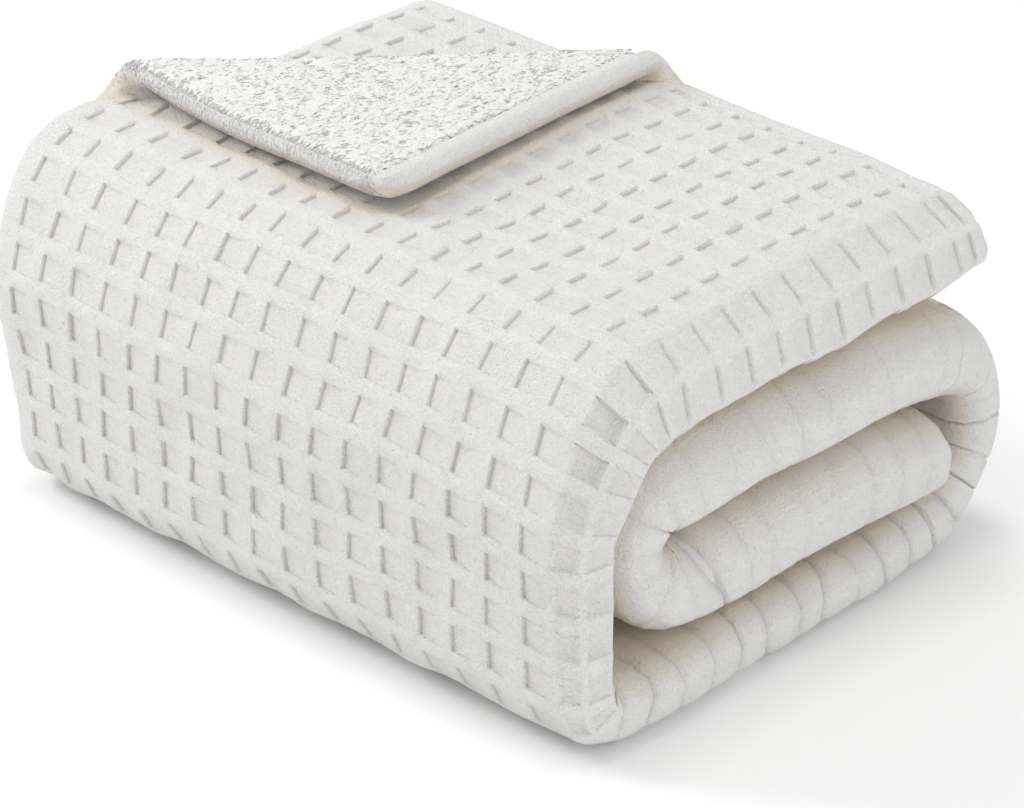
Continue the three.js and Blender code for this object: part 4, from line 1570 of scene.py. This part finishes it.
@dataclass
class FleecePile:
    """The loose locks of the fleece where it shows, joined in one mesh.

    A lock is a short bent cone with three sides, which leans the way that its neighbours lean. Its
    normals stay close to those of the cloth, so that the pile is shaded as softly as the cloth.
    """

    strip: FoldedStrip
    back: FleeceBack
    spacing: float = 1.7
    from_turn: float = 4.0
    before_end: float = 20.0
    past_edge: float = 5.0
    reach: tuple[float, float] = (2.6, 4.6)
    rise: tuple[float, float] = (-0.45, -0.05)
    tip_rise: float = 0.3
    sunk: float = 0.8
    thick: tuple[float, float] = (0.8, 0.64)
    lean_over: float = 14.0
    lean_spread: float = 0.5
    end_reach: float = 3.0
    end_lean: float = 1.5
    side_reach: float = 3.0
    furthest_round: float = 2.4
    roundness: float = 0.15
    seed: int = 91

    def build(self) -> bpy.types.Object:
        """Builds the locks.

        Returns:
            The joined locks.
        """
        draw = np.random.default_rng(self.seed)
        x, lengths = self._roots(draw)
        count = len(x)
        within = self._from_end(x, lengths)
        end = np.exp(-(within / self.end_reach) ** 2)
        side = 1 - smoothstep(x - FREE_EDGE_X, HEM_ROLL - self.side_reach, HEM_ROLL + self.side_reach)
        lean = Ripple(self.seed, self.lean_over).at(x, lengths)
        heading = math.pi * lean + draw.normal(0, self.lean_spread, count)
        reach, rise = draw.uniform(*self.reach, count), draw.uniform(*self.rise, count)
        over = reach * lerp(np.cos(heading), -1, side)
        along = reach * lerp(np.sin(heading) * (1 - side), -self.end_lean, end)
        pile = self.back.pile(x, lengths, within) * (1 - side)
        half = self.strip.roll.gauge(lengths).half

        def spot(part: float, height: Array) -> Array:
            """Returns the places a part of the way along the locks, at heights over the pile."""
            place, w = self._bent(x + over * part, pile + height, half)
            return self.strip.top_points(place, lengths + along * part, w)

        root, middle = spot(0, np.full(count, -self.sunk)), spot(0.5, rise)
        return self._joined(root, middle, spot(1, self.tip_rise * rise), spot(0, rise) - root)

    def _bent(self, x: Array, height: Array, half: Array) -> tuple[Array, Array]:
        """Bends places across the strip round its free edge.

        Args:
            x: The places, as if the cloth went on flat past the edge.
            height: Heights over the back of the ply.
            half: Half the strip's thickness there.

        Returns:
            The places on the rolled edge, and their heights in the ply.
        """
        bend = FREE_EDGE_X + HEM_ROLL
        past = np.clip((bend - x) / HEM_ROLL, 0, self.furthest_round)
        rolled = bend - (HEM_ROLL + height) * np.sin(past)
        return np.where(past > 0, rolled, x), -(PLY_HALF + height / half) * np.cos(past)

    def _roots(self, draw: np.random.Generator) -> tuple[Array, Array]:
        """Scatters the roots of the locks.

        Args:
            draw: Where random numbers come from.

        Returns:
            The roots' places across the strip, and their lengths along it.
        """
        across = np.arange(FREE_EDGE_X - self.past_edge, TOP_EDGE_X, self.spacing)
        down = np.arange(-self.before_end, self.strip.turn.left[1], self.spacing)
        x, lengths = (grid.ravel() for grid in np.meshgrid(across, down))
        x = x + draw.uniform(-0.5, 0.5, len(x)) * self.spacing
        lengths = lengths + draw.uniform(-0.5, 0.5, len(x)) * self.spacing
        _, out = self.strip.turn.split(x, lengths)
        kept = (out > self.from_turn) & (self._from_end(x, lengths) > 0)
        return x[kept], lengths[kept]

    def _from_end(self, x: Array, lengths: Array) -> Array:
        """Returns the distances from the end of the fleece."""
        return lengths - self.strip.roll.length_at_top(top_edge_y(x)) - BACK_HEM - self.back.clearance

    @staticmethod
    def _locks(count: int) -> tuple[bpy.types.Mesh, Array]:
        """Makes many copies of one straight lock: a triangle that is raised once and poked to a tip.

        Args:
            count: How many locks.

        Returns:
            The mesh, with one lock after the other, and the corners of a lock. A corner's first two
            numbers are its place round the lock, and the third is its ring: 0, 1, or 2 for the tip.
        """
        shape = bmesh.new()
        turn = Matrix.Rotation(-math.pi / 2, 4, "Z")
        bmesh.ops.create_circle(shape, cap_ends=True, segments=3, radius=1, matrix=turn)
        tip = bmesh.ops.poke(shape, faces=raise_faces(shape))["verts"]
        bmesh.ops.translate(shape, verts=tip, vec=(0, 0, 1))
        bmesh.ops.recalc_face_normals(shape, faces=shape.faces[:])
        corners = np.array([corner.co for corner in shape.verts])
        for _ in range(math.ceil(math.log2(count))):
            bmesh.ops.duplicate(shape, geom=[*shape.verts, *shape.edges, *shape.faces])
        bmesh.ops.delete(shape, geom=shape.verts[:][count * len(corners):], context="VERTS")
        return mesh_of("fleece_pile", shape), corners

    def _joined(self, root: Array, middle: Array, tip: Array, up: Array) -> bpy.types.Object:
        """Joins the locks in one mesh.

        Args:
            root: Where each lock starts.
            middle: Where it is highest.
            tip: Where it ends.
            up: The way out of the cloth there.

        Returns:
            The joined locks, at the origin.
        """
        side, up = unit(np.cross(tip - root, up)), unit(up)
        mesh, corners = self._locks(len(root))
        centres, runs = (root, middle, tip), (middle - root, tip - root, tip - root)
        thick = (*self.thick, 0)
        points, normals = [], []
        for corner in corners:
            ring = round(corner[2])
            spoke = corner[0] * side + corner[1] * np.cross(unit(runs[ring]), side)
            points.append(centres[ring] + thick[ring] * spoke)
            normals.append(unit(lerp(up, spoke, self.roundness)))
        points, normals = (np.stack(rows, axis=1).reshape(-1, 3) for rows in (points, normals))
        shape_mesh(mesh, points)
        mesh.update()
        mesh.normals_split_custom_set_from_vertices(normals.tolist())
        return put("fleece_pile", mesh)


class Lamp(NamedTuple):
    """A soft square white light: its place, its side and its power."""

    name: str
    place: Point
    side: float
    power: float


@dataclass(frozen=True)
class Studio:
    """A white floor, soft light from the upper left and a camera at the photograph's angle."""

    camera_place: Point = (1.27675, -1.28844, 0.9505)
    camera_yaw: float = 44.636
    camera_pitch: float = 26.02
    lens: float = 131.13
    sensor: float = 36.0
    sight: float = 50.0
    floor_side: float = 12.0
    sky: float = 0.66
    lit_place: Point = (0, 0, 0.1)
    lamps: tuple[Lamp, ...] = (
        Lamp("key", (-2.03, -0.98, 1.55), 1.2, 36.0),
        Lamp("overhead", (0, 0, 2.8), 0.8, 19.0),
        Lamp("fill", (2.5, -0.3, 0.8), 1.8, 17.5),
    )

    def build(self) -> None:
        """Sets the floor, the lights and the camera."""
        self._floor()
        self._sky()
        for lamp in self.lamps:
            self._lamp(lamp)
        self._camera()
        bpy.context.scene.view_settings.view_transform = "Standard"

    def _floor(self) -> None:
        """Lays the floor."""
        shape = bmesh.new()
        bmesh.ops.create_grid(shape, x_segments=1, y_segments=1, size=self.floor_side / 2)
        floor = put("studio_floor", mesh_of("studio_floor", shape))
        floor.data.materials.append(FloorFinish().material())

    def _sky(self) -> None:
        """Fills the room with even white light."""
        world = bpy.data.worlds.new("studio")
        world.use_nodes = True
        light = world.node_tree.nodes["Background"].inputs
        light["Color"].default_value = (1, 1, 1, 1)
        light["Strength"].default_value = self.sky
        bpy.context.scene.world = world

    def _lamp(self, lamp: Lamp) -> None:
        """Hangs one light.

        Args:
            lamp: The light.
        """
        light = bpy.data.lights.new(lamp.name, "AREA")
        light.shape = "SQUARE"
        light.size = lamp.side
        light.energy = lamp.power
        place = Vector(lamp.place)
        turn = (Vector(self.lit_place) - place).to_track_quat("-Z", "Y")
        put(lamp.name, light).matrix_world = Matrix.Translation(place) @ turn.to_matrix().to_4x4()

    def _camera(self) -> None:
        """Places the camera."""
        yaw, pitch = math.radians(self.camera_yaw), math.radians(self.camera_pitch)
        data = bpy.data.cameras.new("camera")
        data.sensor_width = self.sensor
        data.lens = self.lens
        data.clip_end = self.sight
        camera = put("camera", data)
        turn = Matrix.Rotation(yaw, 4, "Z") @ Matrix.Rotation(math.pi / 2 - pitch, 4, "X")
        camera.matrix_world = Matrix.Translation(self.camera_place) @ turn
        bpy.context.scene.camera = camera


def main() -> None:
    """Builds the blanket and its studio."""
    logging.basicConfig(level=logging.INFO, format="%(message)s")
    Studio().build()
    strip = FoldedStrip()
    face = WaffleFace(strip)
    cloth = face.build()
    face.dress(cloth, WaffleFinish())
    back = FleeceBack(strip)
    fleece = back.build()
    pile = FleecePile(strip, back).build()
    back.declare(fleece, pile)
    back.dress((fleece, pile), FleeceFinish())
    for piece in (cloth, fleece, pile):
        triangles = sum(len(face.vertices) - 2 for face in piece.data.polygons)
        LOG.info("%s: %d points, %d triangles", piece.name, len(piece.data.vertices), triangles)


if __name__ == "__main__":
    main()
